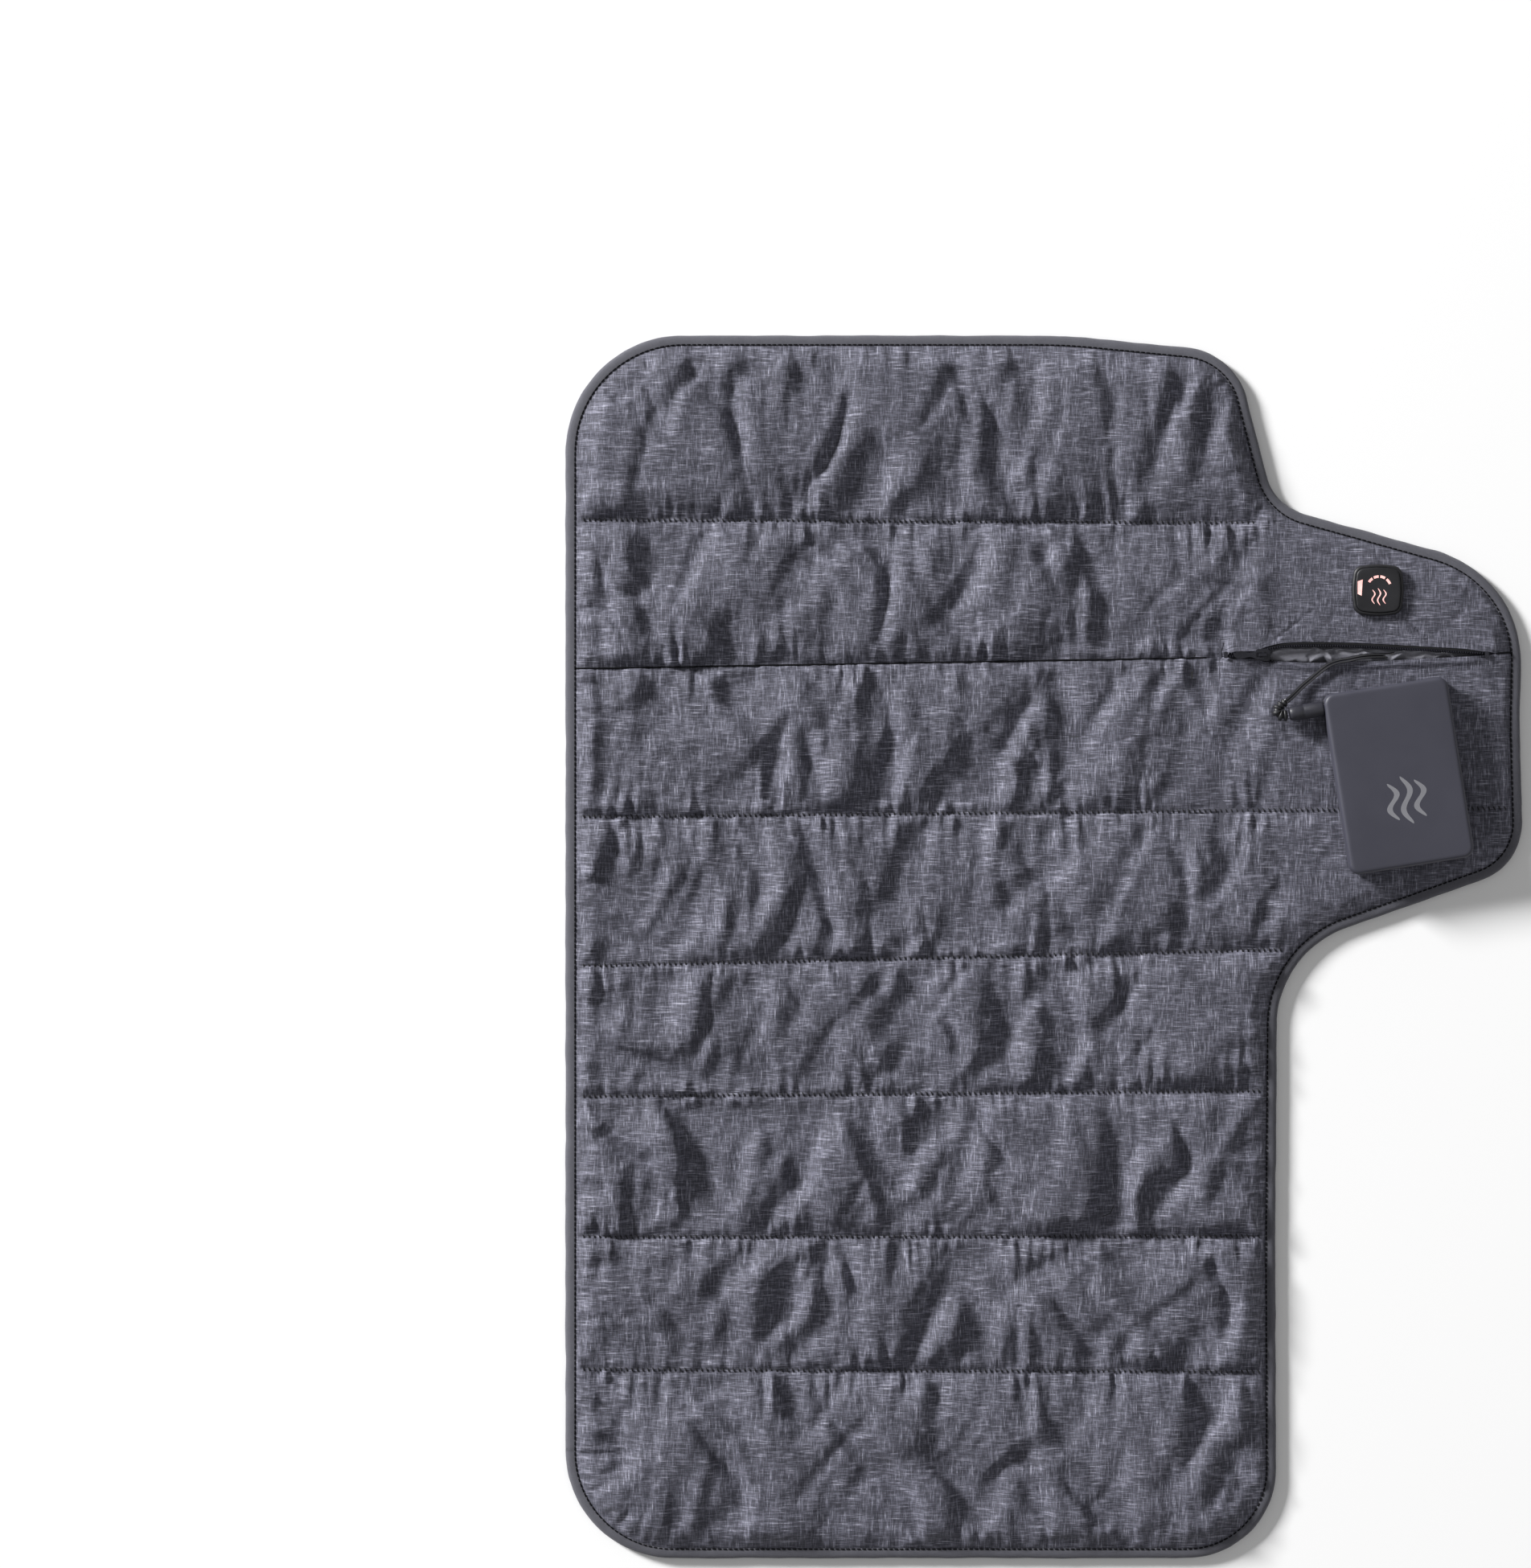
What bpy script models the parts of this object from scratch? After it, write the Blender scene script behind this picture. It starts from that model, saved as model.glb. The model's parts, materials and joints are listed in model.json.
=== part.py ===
"""A battery-heated quilted pad with a side tab, lying flat with its front up.

Units are metres, +Z up. The origin is at the centre of the pad's underside. +Y points to the
pad's top edge and +X to the side tab, which holds the controller, the zipped battery pocket and
the battery. The pad folds in half on its front at a stitched seam.
"""

import math

import bmesh
import bpy
from mathutils import Matrix, Vector

MM = 0.001
GAP = 0.3 * MM
OBJECT_NAME = "heated_pad"

# Outline of the pad, as corners (x, y, corner radius) in millimetres, anticlockwise.
OUTLINE_CORNERS = [
    (-268.3, -342.9, 60.0),
    (130.4, -342.9, 50.0),
    (129.8, -170.0, 400.0),
    (131.0, -3.1, 58.0),
    (269.0, 45.8, 34.0),
    (266.8, 124.0, 150.0),
    (268.8, 208.6, 65.0),
    (129.3, 247.4, 30.0),
    (107.0, 333.6, 38.0),
    (12.0, 342.9, 300.0),
    (-268.3, 342.9, 66.0),
]
ARC_STEP = math.radians(12.0)

# Heights of the layers, from the surface the pad lies on.
FABRIC = 0.6 * MM
LINING_TOP = 0.6 * MM
HEATER_BOTTOM = 3.2 * MM
HEATER_SHEET = 0.5 * MM
WIRE_HEIGHT = 4.7 * MM
BATTING_BOTTOM = 5.7 * MM
BATTING_TOP = 8.5 * MM
PAD_TOP = 10.0 * MM

# Rows of the soft layers: how far each lies in from the outline, and its height.
LINING_RIM_HEIGHT = 1.7 * MM
LINING_ROWS = (1.2 * MM, 4.6 * MM, 7.0 * MM)
SHELL_RIM_HEIGHT = 3.4 * MM
SHELL_ROWS = (1.2 * MM, 7.2 * MM, 15.0 * MM)
BATTING_LOW_INSET = 13 * MM
BATTING_HIGH_INSET = 17 * MM

# Edge binding: a folded tape that wraps the raw edges of both faces.
BINDING_THICKNESS = 0.7 * MM
BINDING_FRONT_WIDTH = 6.5 * MM
BINDING_BACK_WIDTH = 4.0 * MM
BINDING_BOTTOM = 0.3 * MM
BINDING_TOP = 5.0 * MM

# The pad folds about a line over its fourth quilting seam.
FOLD_Y = -5.85 * MM
FOLD_HALF_GAP = 0.3 * MM

# The second seam joins two fabric panels, rising a little towards the zip.
PANEL_SEAM_Y = 160.5 * MM
PANEL_SEAM_SLOPE = 0.0172

# Heater pockets, (x low, y low, x high, y high) of the heater sheets.
HEATER_UPPER = (-164 * MM, 57 * MM, 58 * MM, 249 * MM)
HEATER_LOWER = (-164 * MM, -187 * MM, 58 * MM, -14 * MM)
HEATER_CORNER = 6 * MM
HEATING_WIRE_RADIUS = 0.4 * MM
HEATING_PASSES = 8
HEATING_MARGIN = 14 * MM
CUTOFF_SIZE = (14 * MM, 6 * MM, 1.4 * MM)
CUTOFF_CORNER = 1.2 * MM
HARNESS_RADIUS = 0.8 * MM
HARNESS_X = 82 * MM
HARNESS_BEND_X = 92 * MM
HARNESS_TURN_X = 120 * MM
HARNESS_SPREAD = 6 * MM
HARNESS_STEP = 8 * MM

# Zip: the slider closes it by moving along +X.
ZIP_Y = 163.5 * MM
ZIP_START_X = 103 * MM
ZIP_END_X = 246 * MM
SLIDER_X = 122 * MM
ZIP_BOW_START_X = SLIDER_X - 2 * MM
ZIP_BOW_FRONT = 4.4 * MM
ZIP_BOW_BACK = 4.0 * MM
ZIP_STEPS = 34
SLIT_STEPS = 30
SLIT_REACH = 4 * MM
CUT_DEPTH = 2 * MM
CHAIN_RADIUS = 0.8 * MM
CHAIN_HALF_PITCH = 0.95 * MM
CHAIN_HEIGHT = 9.9 * MM
TAPE_BOTTOM = 8.8 * MM
TAPE_TOP = 9.1 * MM
TAPE_WIDTH = 9 * MM
LIP_CLEARANCE = 1.8 * MM
STOP_SIZE = (2.2 * MM, 3.6 * MM, 1.6 * MM)
STOP_CORNER = 0.5 * MM
STOP_OFFSET = 1.5 * MM
STOP_BOTTOM = 9.2 * MM
PLATE_SIZE = (8 * MM, 6.8 * MM, 0.9 * MM)
PLATE_CORNER = 1.6 * MM
PLATE_HIGH = 11.0 * MM
PLATE_LOW = 7.6 * MM
WEDGE_SIZE = (3.2 * MM, 2.0 * MM, 3.2 * MM)
WEDGE_CORNER = 0.8 * MM
WEDGE_OFFSET = 1.9 * MM
WEDGE_BOTTOM = 8.2 * MM
BRIDGE_SIZE = (5.0 * MM, 2.0 * MM, 2.4 * MM)
BRIDGE_EDGE = 0.5 * MM
BRIDGE_BOTTOM = 11.6 * MM
EYE_HALF = 1.7 * MM
EYE_BOTTOM = 12.0 * MM
EYE_TOP = 13.3 * MM

# The pull hangs on a bar through the eye, and lies over the closed part of the zip.
PULL_HEIGHT = 12.65 * MM
PULL_THICKNESS = 0.8 * MM
PULL_SIDE = [
    (0.55, 2.3),
    (-3.2, 2.3),
    (-7.0, 1.1),
    (-8.6, 1.3),
    (-11.5, 2.1),
    (-14.5, 1.9),
    (-16.4, 0.6),
]
PULL_WINDOW_HALF = 1.35 * MM
PULL_WINDOW = (-3.9 * MM, -0.55 * MM)

# Battery pocket, (x low, y low, x high, y high) of the bag and its heights.
POCKET = (98 * MM, 54 * MM, 252 * MM, 172 * MM)
POCKET_CORNER = 10 * MM
POCKET_BOTTOM = 3.0 * MM
POCKET_TOP = 8.5 * MM
POCKET_WALL = 0.5 * MM
POCKET_SEAM = 1.5 * MM
POCKET_SEAM_GAP = 0.1 * MM
POCKET_MOUTH_HALF = 4.8 * MM
POCKET_MOUTH_END = 1.5 * MM
LEAD_PASSAGE_HALF = 2.4 * MM
GROMMET_RADIUS = 1.9 * MM
GROMMET_LENGTH = 4 * MM
BATTING_SPLIT_X = 96 * MM
BATTING_CLEARANCE = 1.5 * MM
LEAD_ROOM = 6 * MM

# Controller: a square button in a frame over a housing inside the tab.
CONTROLLER_X = 186.3 * MM
CONTROLLER_Y = 199.8 * MM
BEZEL_SIDE = 29 * MM
BEZEL_CORNER = 6.5 * MM
BEZEL_BOTTOM = 10.3 * MM
BEZEL_TOP = 13.2 * MM
BEZEL_FLOOR = 0.8 * MM
BEZEL_EDGE = 0.7 * MM
CAP_SIDE = 25.6 * MM
CAP_BOTTOM = 12.0 * MM
CAP_TOP = 13.9 * MM
CAP_CORNER = 5.1 * MM
CAP_EDGE = 0.6 * MM
CAP_WINDOW = 26.3 * MM
CAP_WINDOW_CORNER = 5.4 * MM
HOUSING_SIDE = 25 * MM
HOUSING_BOTTOM = 3.2 * MM
HOUSING_TOP = 8.9 * MM
HOUSING_WALL = 1.2 * MM
HOUSING_CORNER = 5 * MM
FABRIC_HOLE = 18 * MM
BOARD_SIDE = 21 * MM
BOARD_CORNER = 3 * MM
BOARD_BOTTOM = 4.8 * MM
BOARD_THICKNESS = 1.0 * MM
SWITCH_SIZE = (6 * MM, 6 * MM, 2.6 * MM)
SWITCH_CORNER = 0.6 * MM
SWITCH_TRAVEL = 0.8 * MM
LAMP_RADIUS = 0.8 * MM
LAMP_ARC_RADIUS = 7.5 * MM
LAMP_ARC_DEGREES = range(20, 165, 12)
STEM_SIDE = 5 * MM
STEM_ROOM = 10 * MM
STEM_OVERLAP = 0.5 * MM

# Battery, built in its own frame and turned on the tab.
BATTERY_CENTRE = (197.1 * MM, 96.0 * MM)
BATTERY_TURN = math.radians(9.0)
BATTERY_WIDTH = 70 * MM
BATTERY_LENGTH = 102 * MM
BATTERY_THICKNESS = 12 * MM
BATTERY_CORNER = 6 * MM
BATTERY_EDGE = 1.6 * MM
BATTERY_WALL = 1.3 * MM
BATTERY_BOTTOM = PAD_TOP + GAP
CELL_SIZE = (60 * MM, 66 * MM, 8 * MM)
CELL_CORNER = 3 * MM
CELL_EDGE = 0.8 * MM
CELL_PLACE = (1 * MM, -14 * MM, 2 * MM)
BATTERY_BOARD_SIZE = (60 * MM, 13 * MM, 1.0 * MM)
BATTERY_BOARD_PLACE = (1 * MM, 29.5 * MM, 3.0 * MM)
STRIP_SIZE = (8 * MM, 3.2 * MM, 0.4 * MM)
STRIP_PLACE = (1 * MM, 21.0 * MM, 3.3 * MM)
PLUG_OFFSET_Y = 43.5 * MM
PLUG_RADIUS = 4.3 * MM
PLUG_TAPER = 0.5 * MM
PLUG_LENGTH = 19.5 * MM
BARREL_RADIUS = 2.75 * MM
BARREL_WALL = 0.7 * MM
BARREL_LENGTH = 9 * MM
SOCKET_RADIUS = 4.2 * MM
SOCKET_LENGTH = 13 * MM
SOCKET_INSET = 0.2 * MM
CHARGE_PORT_Y = 31 * MM
PORT_SIZE = (7.3 * MM, 9 * MM, 3.2 * MM)
PORT_INSET = 0.4 * MM
PORT_WALL = 0.4 * MM
PORT_HOLE = (6 * MM, 10 * MM, 4 * MM)

# Lead: a flat twin wire, from a grommet in the pocket, out through the zip, to the plug.
LEAD_RADIUS = 1.5 * MM
LEAD_STEP = 4.0 * MM
LEAD_ROUTE = [
    (203.0, 170.4, 5.75),
    (203.0, 168.2, 5.75),
    (199.8, 165.0, 5.9),
    (193.4, 163.4, 6.9),
    (187.2, 163.2, 8.8),
    (181.0, 162.9, 10.9),
    (175.0, 162.1, 12.5),
    (169.3, 160.9, 13.1),
    (163.8, 159.9, 13.0),
    (158.6, 157.8, 12.5),
    (153.5, 154.0, 12.1),
    (148.8, 150.0, 12.0),
    (144.4, 146.4, 12.3),
    (140.4, 142.4, 13.0),
    (137.0, 139.2, 14.0),
    (134.2, 137.1, 14.9),
]
BOOT_ROUTE = [
    (133.95, 136.9, 15.0, 2.0),
    (132.0, 135.6, 15.5, 2.1),
    (130.2, 133.9, 15.9, 2.3),
    (129.6, 131.9, 16.2, 2.5),
    (130.8, 130.2, 16.3, 2.7),
    (133.2, 129.9, 16.3, 2.9),
    (135.2, 130.25, 16.3, 3.1),
]

# The lead's hidden stretch, as steps from the end of the visible one, and its last reach.
INNER_LEAD_RADIUS = 1.3 * MM
INNER_LEAD_STEP = 2.5 * MM
INNER_LEAD_ROUTE = [(0.0, 4.9), (-0.5, 7.0), (-4.0, 10.5)]
INNER_LEAD_END = -5.5 * MM

parts = None
cutters = None


# Scene helpers


def clear_scene():
    """Empties the file and makes the two collections."""
    global parts, cutters
    for obj in list(bpy.data.objects):
        bpy.data.objects.remove(obj, do_unlink=True)
    parts = bpy.data.collections.new(OBJECT_NAME)
    cutters = bpy.data.collections.new("cutters")
    bpy.context.scene.collection.children.link(parts)
    bpy.context.scene.collection.children.link(cutters)


def material(name, colour, roughness, metallic=0.0):
    """A Principled material."""
    made = bpy.data.materials.new(name)
    made.use_nodes = True
    shader = made.node_tree.nodes["Principled BSDF"]
    shader.inputs["Base Color"].default_value = (*colour, 1.0)
    shader.inputs["Roughness"].default_value = roughness
    shader.inputs["Metallic"].default_value = metallic
    return made


def make_materials():
    """Every material, by name."""
    return {
        "heather": material("heather", (0.095, 0.095, 0.115), 0.85),
        "satin": material("satin", (0.085, 0.085, 0.115), 0.42),
        "binding": material("binding", (0.075, 0.075, 0.09), 0.7),
        "batting": material("batting", (0.75, 0.75, 0.73), 0.95),
        "heater": material("heater", (0.55, 0.42, 0.16), 0.5),
        "carbon": material("carbon", (0.02, 0.02, 0.022), 0.6),
        "wire": material("wire", (0.025, 0.025, 0.028), 0.5),
        "cutoff": material("cutoff", (0.6, 0.6, 0.58), 0.45),
        "tape": material("tape", (0.03, 0.03, 0.035), 0.8),
        "coil": material("coil", (0.015, 0.015, 0.018), 0.4),
        "slider": material("slider", (0.03, 0.03, 0.033), 0.35, 0.8),
        "silicone": material("silicone", (0.012, 0.012, 0.014), 0.5),
        "plastic": material("plastic", (0.03, 0.03, 0.033), 0.45),
        "board": material("board", (0.02, 0.13, 0.06), 0.4),
        "metal": material("metal", (0.75, 0.75, 0.76), 0.25, 1.0),
        "light": material("light", (0.95, 0.6, 0.55), 0.4),
        "case": material("case", (0.06, 0.06, 0.068), 0.5),
        "cell": material("cell", (0.62, 0.63, 0.66), 0.35, 0.6),
    }


def add_object(name, mesh, mat, collection=None):
    """Links a mesh as a named object with its own material."""
    obj = bpy.data.objects.new(name, mesh)
    obj.data.materials.clear()
    if mat:
        obj.data.materials.append(mat.copy())
    (collection or parts).objects.link(obj)
    return obj


def finish_mesh(bm, name, smooth=True):
    """Turns a bmesh into mesh data with outward normals."""
    bmesh.ops.recalc_face_normals(bm, faces=bm.faces)
    mesh = bpy.data.meshes.new(name)
    bm.to_mesh(mesh)
    bm.free()
    if smooth:
        mesh.shade_smooth()
        mesh.set_sharp_from_angle(angle=math.radians(35))
    return mesh


def hide_cutter(obj):
    """Marks an object as a cutter."""
    obj.hide_render = True
    obj.display_type = "WIRE"
    return obj


def cut(obj, cutter, operation="DIFFERENCE"):
    """Adds an exact Boolean with a cutter."""
    modifier = obj.modifiers.new("cut_" + cutter.name, "BOOLEAN")
    modifier.object = cutter
    modifier.operation = operation
    modifier.solver = "EXACT"
    return obj


def place(obj, location, parent=None, turn=0.0):
    """Puts an object at a location, under a parent."""
    obj.parent = parent
    obj.location = location
    obj.rotation_euler = (0.0, 0.0, turn)
    return obj


# Shape helpers


def arc_corner(before, corner, after, radius, inset):
    """Points of one rounded corner of an outline that is moved inwards by inset."""
    here = Vector(corner)
    to_before = (Vector(before) - here).normalized()
    to_after = (Vector(after) - here).normalized()
    opening = to_before.angle(to_after)
    turn = math.pi - opening
    convex = to_before.x * to_after.y - to_before.y * to_after.x < 0
    centre = here + (to_before + to_after).normalized() * (radius / math.sin(opening / 2))
    first = here + to_before * (radius / math.tan(opening / 2)) - centre
    shrunk = radius - inset if convex else radius + inset
    steps = max(1, math.ceil(turn / ARC_STEP))
    sign = 1.0 if convex else -1.0
    start = math.atan2(first.y, first.x)
    points = []
    for i in range(steps + 1):
        angle = start + sign * turn * i / steps
        points.append((centre.x + shrunk * math.cos(angle), centre.y + shrunk * math.sin(angle)))
    return points


def outline(inset):
    """The pad's outline, anticlockwise, moved inwards by inset."""
    points = []
    count = len(OUTLINE_CORNERS)
    for i in range(count):
        x, y, radius = OUTLINE_CORNERS[i]
        before = OUTLINE_CORNERS[i - 1]
        after = OUTLINE_CORNERS[(i + 1) % count]
        corner = (x * MM, y * MM)
        near = (before[0] * MM, before[1] * MM)
        far = (after[0] * MM, after[1] * MM)
        points += arc_corner(near, corner, far, radius * MM, inset)
    return points


def ring_of(bm, inset, height):
    """One closed row of vertices along the outline."""
    return [bm.verts.new((x, y, height)) for x, y in outline(inset)]


def join_rings(bm, lower, upper):
    """A band of faces between two rows of vertices."""
    count = len(lower)
    for i in range(count):
        j = (i + 1) % count
        bm.faces.new((lower[i], lower[j], upper[j], upper[i]))


def keep_side(bm, point, outward, close=False):
    """Removes what lies beyond a plane, and caps a solid where it is cut."""
    everything = bm.verts[:] + bm.edges[:] + bm.faces[:]
    result = bmesh.ops.bisect_plane(
        bm, geom=everything, plane_co=point, plane_no=outward, clear_outer=True, dist=1e-7
    )
    if close:
        edges = [e for e in result["geom_cut"] if isinstance(e, bmesh.types.BMEdge)]
        bmesh.ops.holes_fill(bm, edges=edges, sides=0)


def fabric_sheet(name, rings, planes, mat, filled=True, thickness=FABRIC):
    """A fabric piece: rows along the outline at (inset, height), trimmed by planes and thickened."""
    bm = bmesh.new()
    rows = [ring_of(bm, inset, height) for inset, height in rings]
    for lower, upper in zip(rows, rows[1:]):
        join_rings(bm, lower, upper)
    if filled:
        bm.faces.new(rows[-1])
    for point, outward in planes:
        keep_side(bm, point, outward)
    obj = add_object(name, finish_mesh(bm, name), mat)
    solid = obj.modifiers.new("thickness", "SOLIDIFY")
    solid.thickness = thickness
    solid.offset = 0.0
    solid.use_even_offset = True
    return obj


def padded_slab(name, low, high, planes, mat):
    """A solid between two rows along the outline, each (inset, height), trimmed by planes."""
    bm = bmesh.new()
    bottom = ring_of(bm, *low)
    top = ring_of(bm, *high)
    join_rings(bm, bottom, top)
    bm.faces.new(reversed(bottom))
    bm.faces.new(top)
    for point, outward in planes:
        keep_side(bm, point, outward, close=True)
    return add_object(name, finish_mesh(bm, name), mat)


def rounded_box(name, size, corner, mat, bottom_edge=0.0, top_edge=0.0, steps=4, collection=None):
    """A box that stands on its origin, with rounded upright edges and optional rounded rims."""
    bm = bmesh.new()
    lift = Matrix.Translation((0, 0, size[2] / 2))
    scale = Matrix.Diagonal((size[0], size[1], size[2], 1.0))
    bmesh.ops.create_cube(bm, size=1.0, matrix=lift @ scale)
    if corner > 0:
        upright = [e for e in bm.edges if abs(e.verts[0].co.z - e.verts[1].co.z) > size[2] / 2]
        bmesh.ops.bevel(
            bm, geom=upright, offset=corner, segments=steps, profile=0.5, affect="EDGES"
        )
    for width, height in ((bottom_edge, 0.0), (top_edge, size[2])):
        if width > 0:
            rim = [e for e in bm.edges if all(abs(v.co.z - height) < 1e-7 for v in e.verts)]
            bmesh.ops.bevel(bm, geom=rim, offset=width, segments=2, profile=0.5, affect="EDGES")
    return add_object(name, finish_mesh(bm, name), mat, collection)


def cutter_box(name, low, high):
    """A box cutter between two corners in world space."""
    size = [high[i] - low[i] for i in range(3)]
    obj = rounded_box(name, size, 0.0, None, collection=cutters)
    obj.location = ((low[0] + high[0]) / 2, (low[1] + high[1]) / 2, low[2])
    return hide_cutter(obj)


def cylinder(name, radius, length, mat, sides=24, end_radius=None, collection=None):
    """A cylinder or cone along +X from its origin."""
    bm = bmesh.new()
    turn = Matrix.Rotation(math.pi / 2, 4, "Y")
    shift = Matrix.Translation((length / 2, 0, 0))
    bmesh.ops.create_cone(
        bm,
        cap_ends=True,
        segments=sides,
        radius1=radius,
        radius2=radius if end_radius is None else end_radius,
        depth=length,
        matrix=shift @ turn,
    )
    return add_object(name, finish_mesh(bm, name), mat, collection)


def tube(name, points, radius, mat, detail=2, radii=None):
    """A round tube through points, with closed ends."""
    curve = bpy.data.curves.new(name, "CURVE")
    curve.dimensions = "3D"
    curve.bevel_depth = radius
    curve.bevel_resolution = detail
    curve.use_fill_caps = True
    spline = curve.splines.new("POLY")
    spline.points.add(len(points) - 1)
    for i, point in enumerate(points):
        spline.points[i].co = (*point, 1.0)
        spline.points[i].radius = radii[i] if radii else 1.0
    curve.materials.append(mat.copy())
    obj = bpy.data.objects.new(name, curve)
    parts.objects.link(obj)
    return obj


def smooth_route(points, step):
    """Points about step apart on a smooth curve through the route's own points."""
    route = [Vector(p) for p in points]
    ends = [2 * route[0] - route[1], *route, 2 * route[-1] - route[-2]]
    fine = []
    for i in range(1, len(ends) - 2):
        a, b, c, d = ends[i - 1 : i + 3]
        count = max(1, round((c - b).length / step))
        for k in range(count):
            t = k / count
            fine.append(
                0.5
                * (
                    2 * b
                    + (c - a) * t
                    + (2 * a - 5 * b + 4 * c - d) * t * t
                    + (3 * b - a - 3 * c + d) * t**3
                )
            )
    fine.append(route[-1])
    return fine


# The soft layers


def fold_plane(upper):
    """The plane that trims a layer at the fold, for the upper or the lower half."""
    if upper:
        return (0, FOLD_Y + FOLD_HALF_GAP, 0), (0, -1, 0)
    return (0, FOLD_Y - FOLD_HALF_GAP, 0), (0, 1, 0)


def seam_plane(above):
    """The plane that trims a front panel at the panel seam."""
    side = 1.0 if above else -1.0
    normal = Vector((PANEL_SEAM_SLOPE, -1.0, 0)).normalized() * side
    return (0, PANEL_SEAM_Y + side * GAP / 2, 0), normal


def make_lining(mats):
    """The satin underside: flat on the ground, its rim raised into the binding."""
    rim, flange, flat = LINING_ROWS
    rings = [
        (rim, LINING_RIM_HEIGHT),
        (flange, LINING_RIM_HEIGHT),
        (flat, LINING_TOP - FABRIC / 2),
    ]
    fabric_sheet("lining_upper", rings, [fold_plane(True)], mats["satin"])
    fabric_sheet("lining_lower", rings, [fold_plane(False)], mats["satin"])


def make_binding(mats):
    """The folded tape round the edge, in one length for each half."""
    web = BINDING_THICKNESS / 2
    rings = [
        (BINDING_FRONT_WIDTH, BINDING_TOP - web),
        (web, BINDING_TOP - web),
        (web, BINDING_BOTTOM + web),
        (BINDING_BACK_WIDTH, BINDING_BOTTOM + web),
    ]
    for name, upper in (("binding_upper", True), ("binding_lower", False)):
        fabric_sheet(
            name, rings, [fold_plane(upper)], mats["binding"], False, BINDING_THICKNESS
        )


def zip_gap(x, bow):
    """How far one half of the zip stands off the zip's line at x."""
    share = (x - ZIP_BOW_START_X) / (ZIP_END_X - ZIP_BOW_START_X)
    if share <= 0 or share >= 1:
        return 0.0
    return bow * math.sin(math.pi * math.sqrt(share))


def lens_cutter(name, margin, low, high):
    """The opened zip's outline, widened by a margin, as a cutter."""
    first, last = ZIP_START_X - SLIT_REACH, ZIP_END_X + SLIT_REACH
    xs = [first + (last - first) * i / SLIT_STEPS for i in range(SLIT_STEPS + 1)]
    front = [(x, ZIP_Y + zip_gap(x, ZIP_BOW_FRONT) + margin) for x in xs]
    back = [(x, ZIP_Y - zip_gap(x, ZIP_BOW_BACK) - margin) for x in xs]
    bm = bmesh.new()
    face = bm.faces.new([bm.verts.new((x, y, low)) for x, y in back + front[::-1]])
    pushed = bmesh.ops.extrude_face_region(bm, geom=[face])["geom"]
    raised = [v for v in pushed if isinstance(v, bmesh.types.BMVert)]
    bmesh.ops.translate(bm, vec=(0, 0, high - low), verts=raised)
    return hide_cutter(add_object(name, finish_mesh(bm, name, False), None, cutters))


def make_front(mats):
    """The quilted front: two panels sewn at the panel seam, the lower one split at the fold."""
    rim, flange, flat = SHELL_ROWS
    rings = [
        (rim, SHELL_RIM_HEIGHT),
        (flange, SHELL_RIM_HEIGHT),
        (flat, PAD_TOP - FABRIC / 2),
    ]
    fold_up = fold_plane(True)
    top = fabric_sheet("shell_top_panel", rings, [seam_plane(True)], mats["heather"])
    centre = fabric_sheet(
        "shell_middle_panel", rings, [seam_plane(False), fold_up], mats["heather"]
    )
    fabric_sheet("shell_bottom_panel", rings, [fold_plane(False)], mats["heather"])
    slit = lens_cutter("zip_slit", LIP_CLEARANCE + CHAIN_RADIUS, BATTING_TOP, PAD_TOP + CUT_DEPTH)
    cut(top, slit)
    cut(centre, slit)
    half = FABRIC_HOLE / 2
    hole = cutter_box(
        "controller_hole",
        (CONTROLLER_X - half, CONTROLLER_Y - half, BATTING_TOP),
        (CONTROLLER_X + half, CONTROLLER_Y + half, PAD_TOP + CUT_DEPTH),
    )
    cut(top, hole)


def make_batting(mats):
    """The filling, in slabs round the pocket and the housing."""
    low = (BATTING_LOW_INSET, BATTING_BOTTOM)
    high = (BATTING_HIGH_INSET, BATTING_TOP)
    upper, lower = fold_plane(True), fold_plane(False)
    body_edge = ((BATTING_SPLIT_X - GAP / 2, 0, 0), (1, 0, 0))
    side_edge = ((BATTING_SPLIT_X + GAP / 2, 0, 0), (-1, 0, 0))
    over_pocket = ((0, POCKET[3] + BATTING_CLEARANCE, 0), (0, -1, 0))
    under_pocket = ((0, POCKET[1] - BATTING_CLEARANCE, 0), (0, 1, 0))
    reach = HOUSING_SIDE / 2 + BATTING_CLEARANCE
    left_of_housing = ((CONTROLLER_X - reach, 0, 0), (1, 0, 0))
    right_of_housing = ((CONTROLLER_X + reach + LEAD_ROOM, 0, 0), (-1, 0, 0))
    slabs = {
        "batting_upper": [upper, body_edge],
        "batting_lower": [lower],
        "batting_tab_root": [upper, side_edge, under_pocket],
        "batting_shoulder": [side_edge, over_pocket, left_of_housing],
        "batting_tab_corner": [over_pocket, right_of_housing],
    }
    for name, planes in slabs.items():
        padded_slab(name, low, high, planes, mats["batting"])


# The heating parts


def heater_sheet(name, rect, mats):
    """A thin flat sheet that carries the heating wire."""
    size = (rect[2] - rect[0], rect[3] - rect[1], HEATER_SHEET)
    obj = rounded_box(name, size, HEATER_CORNER, mats["heater"])
    return place(obj, ((rect[0] + rect[2]) / 2, (rect[1] + rect[3]) / 2, HEATER_BOTTOM))


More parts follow.
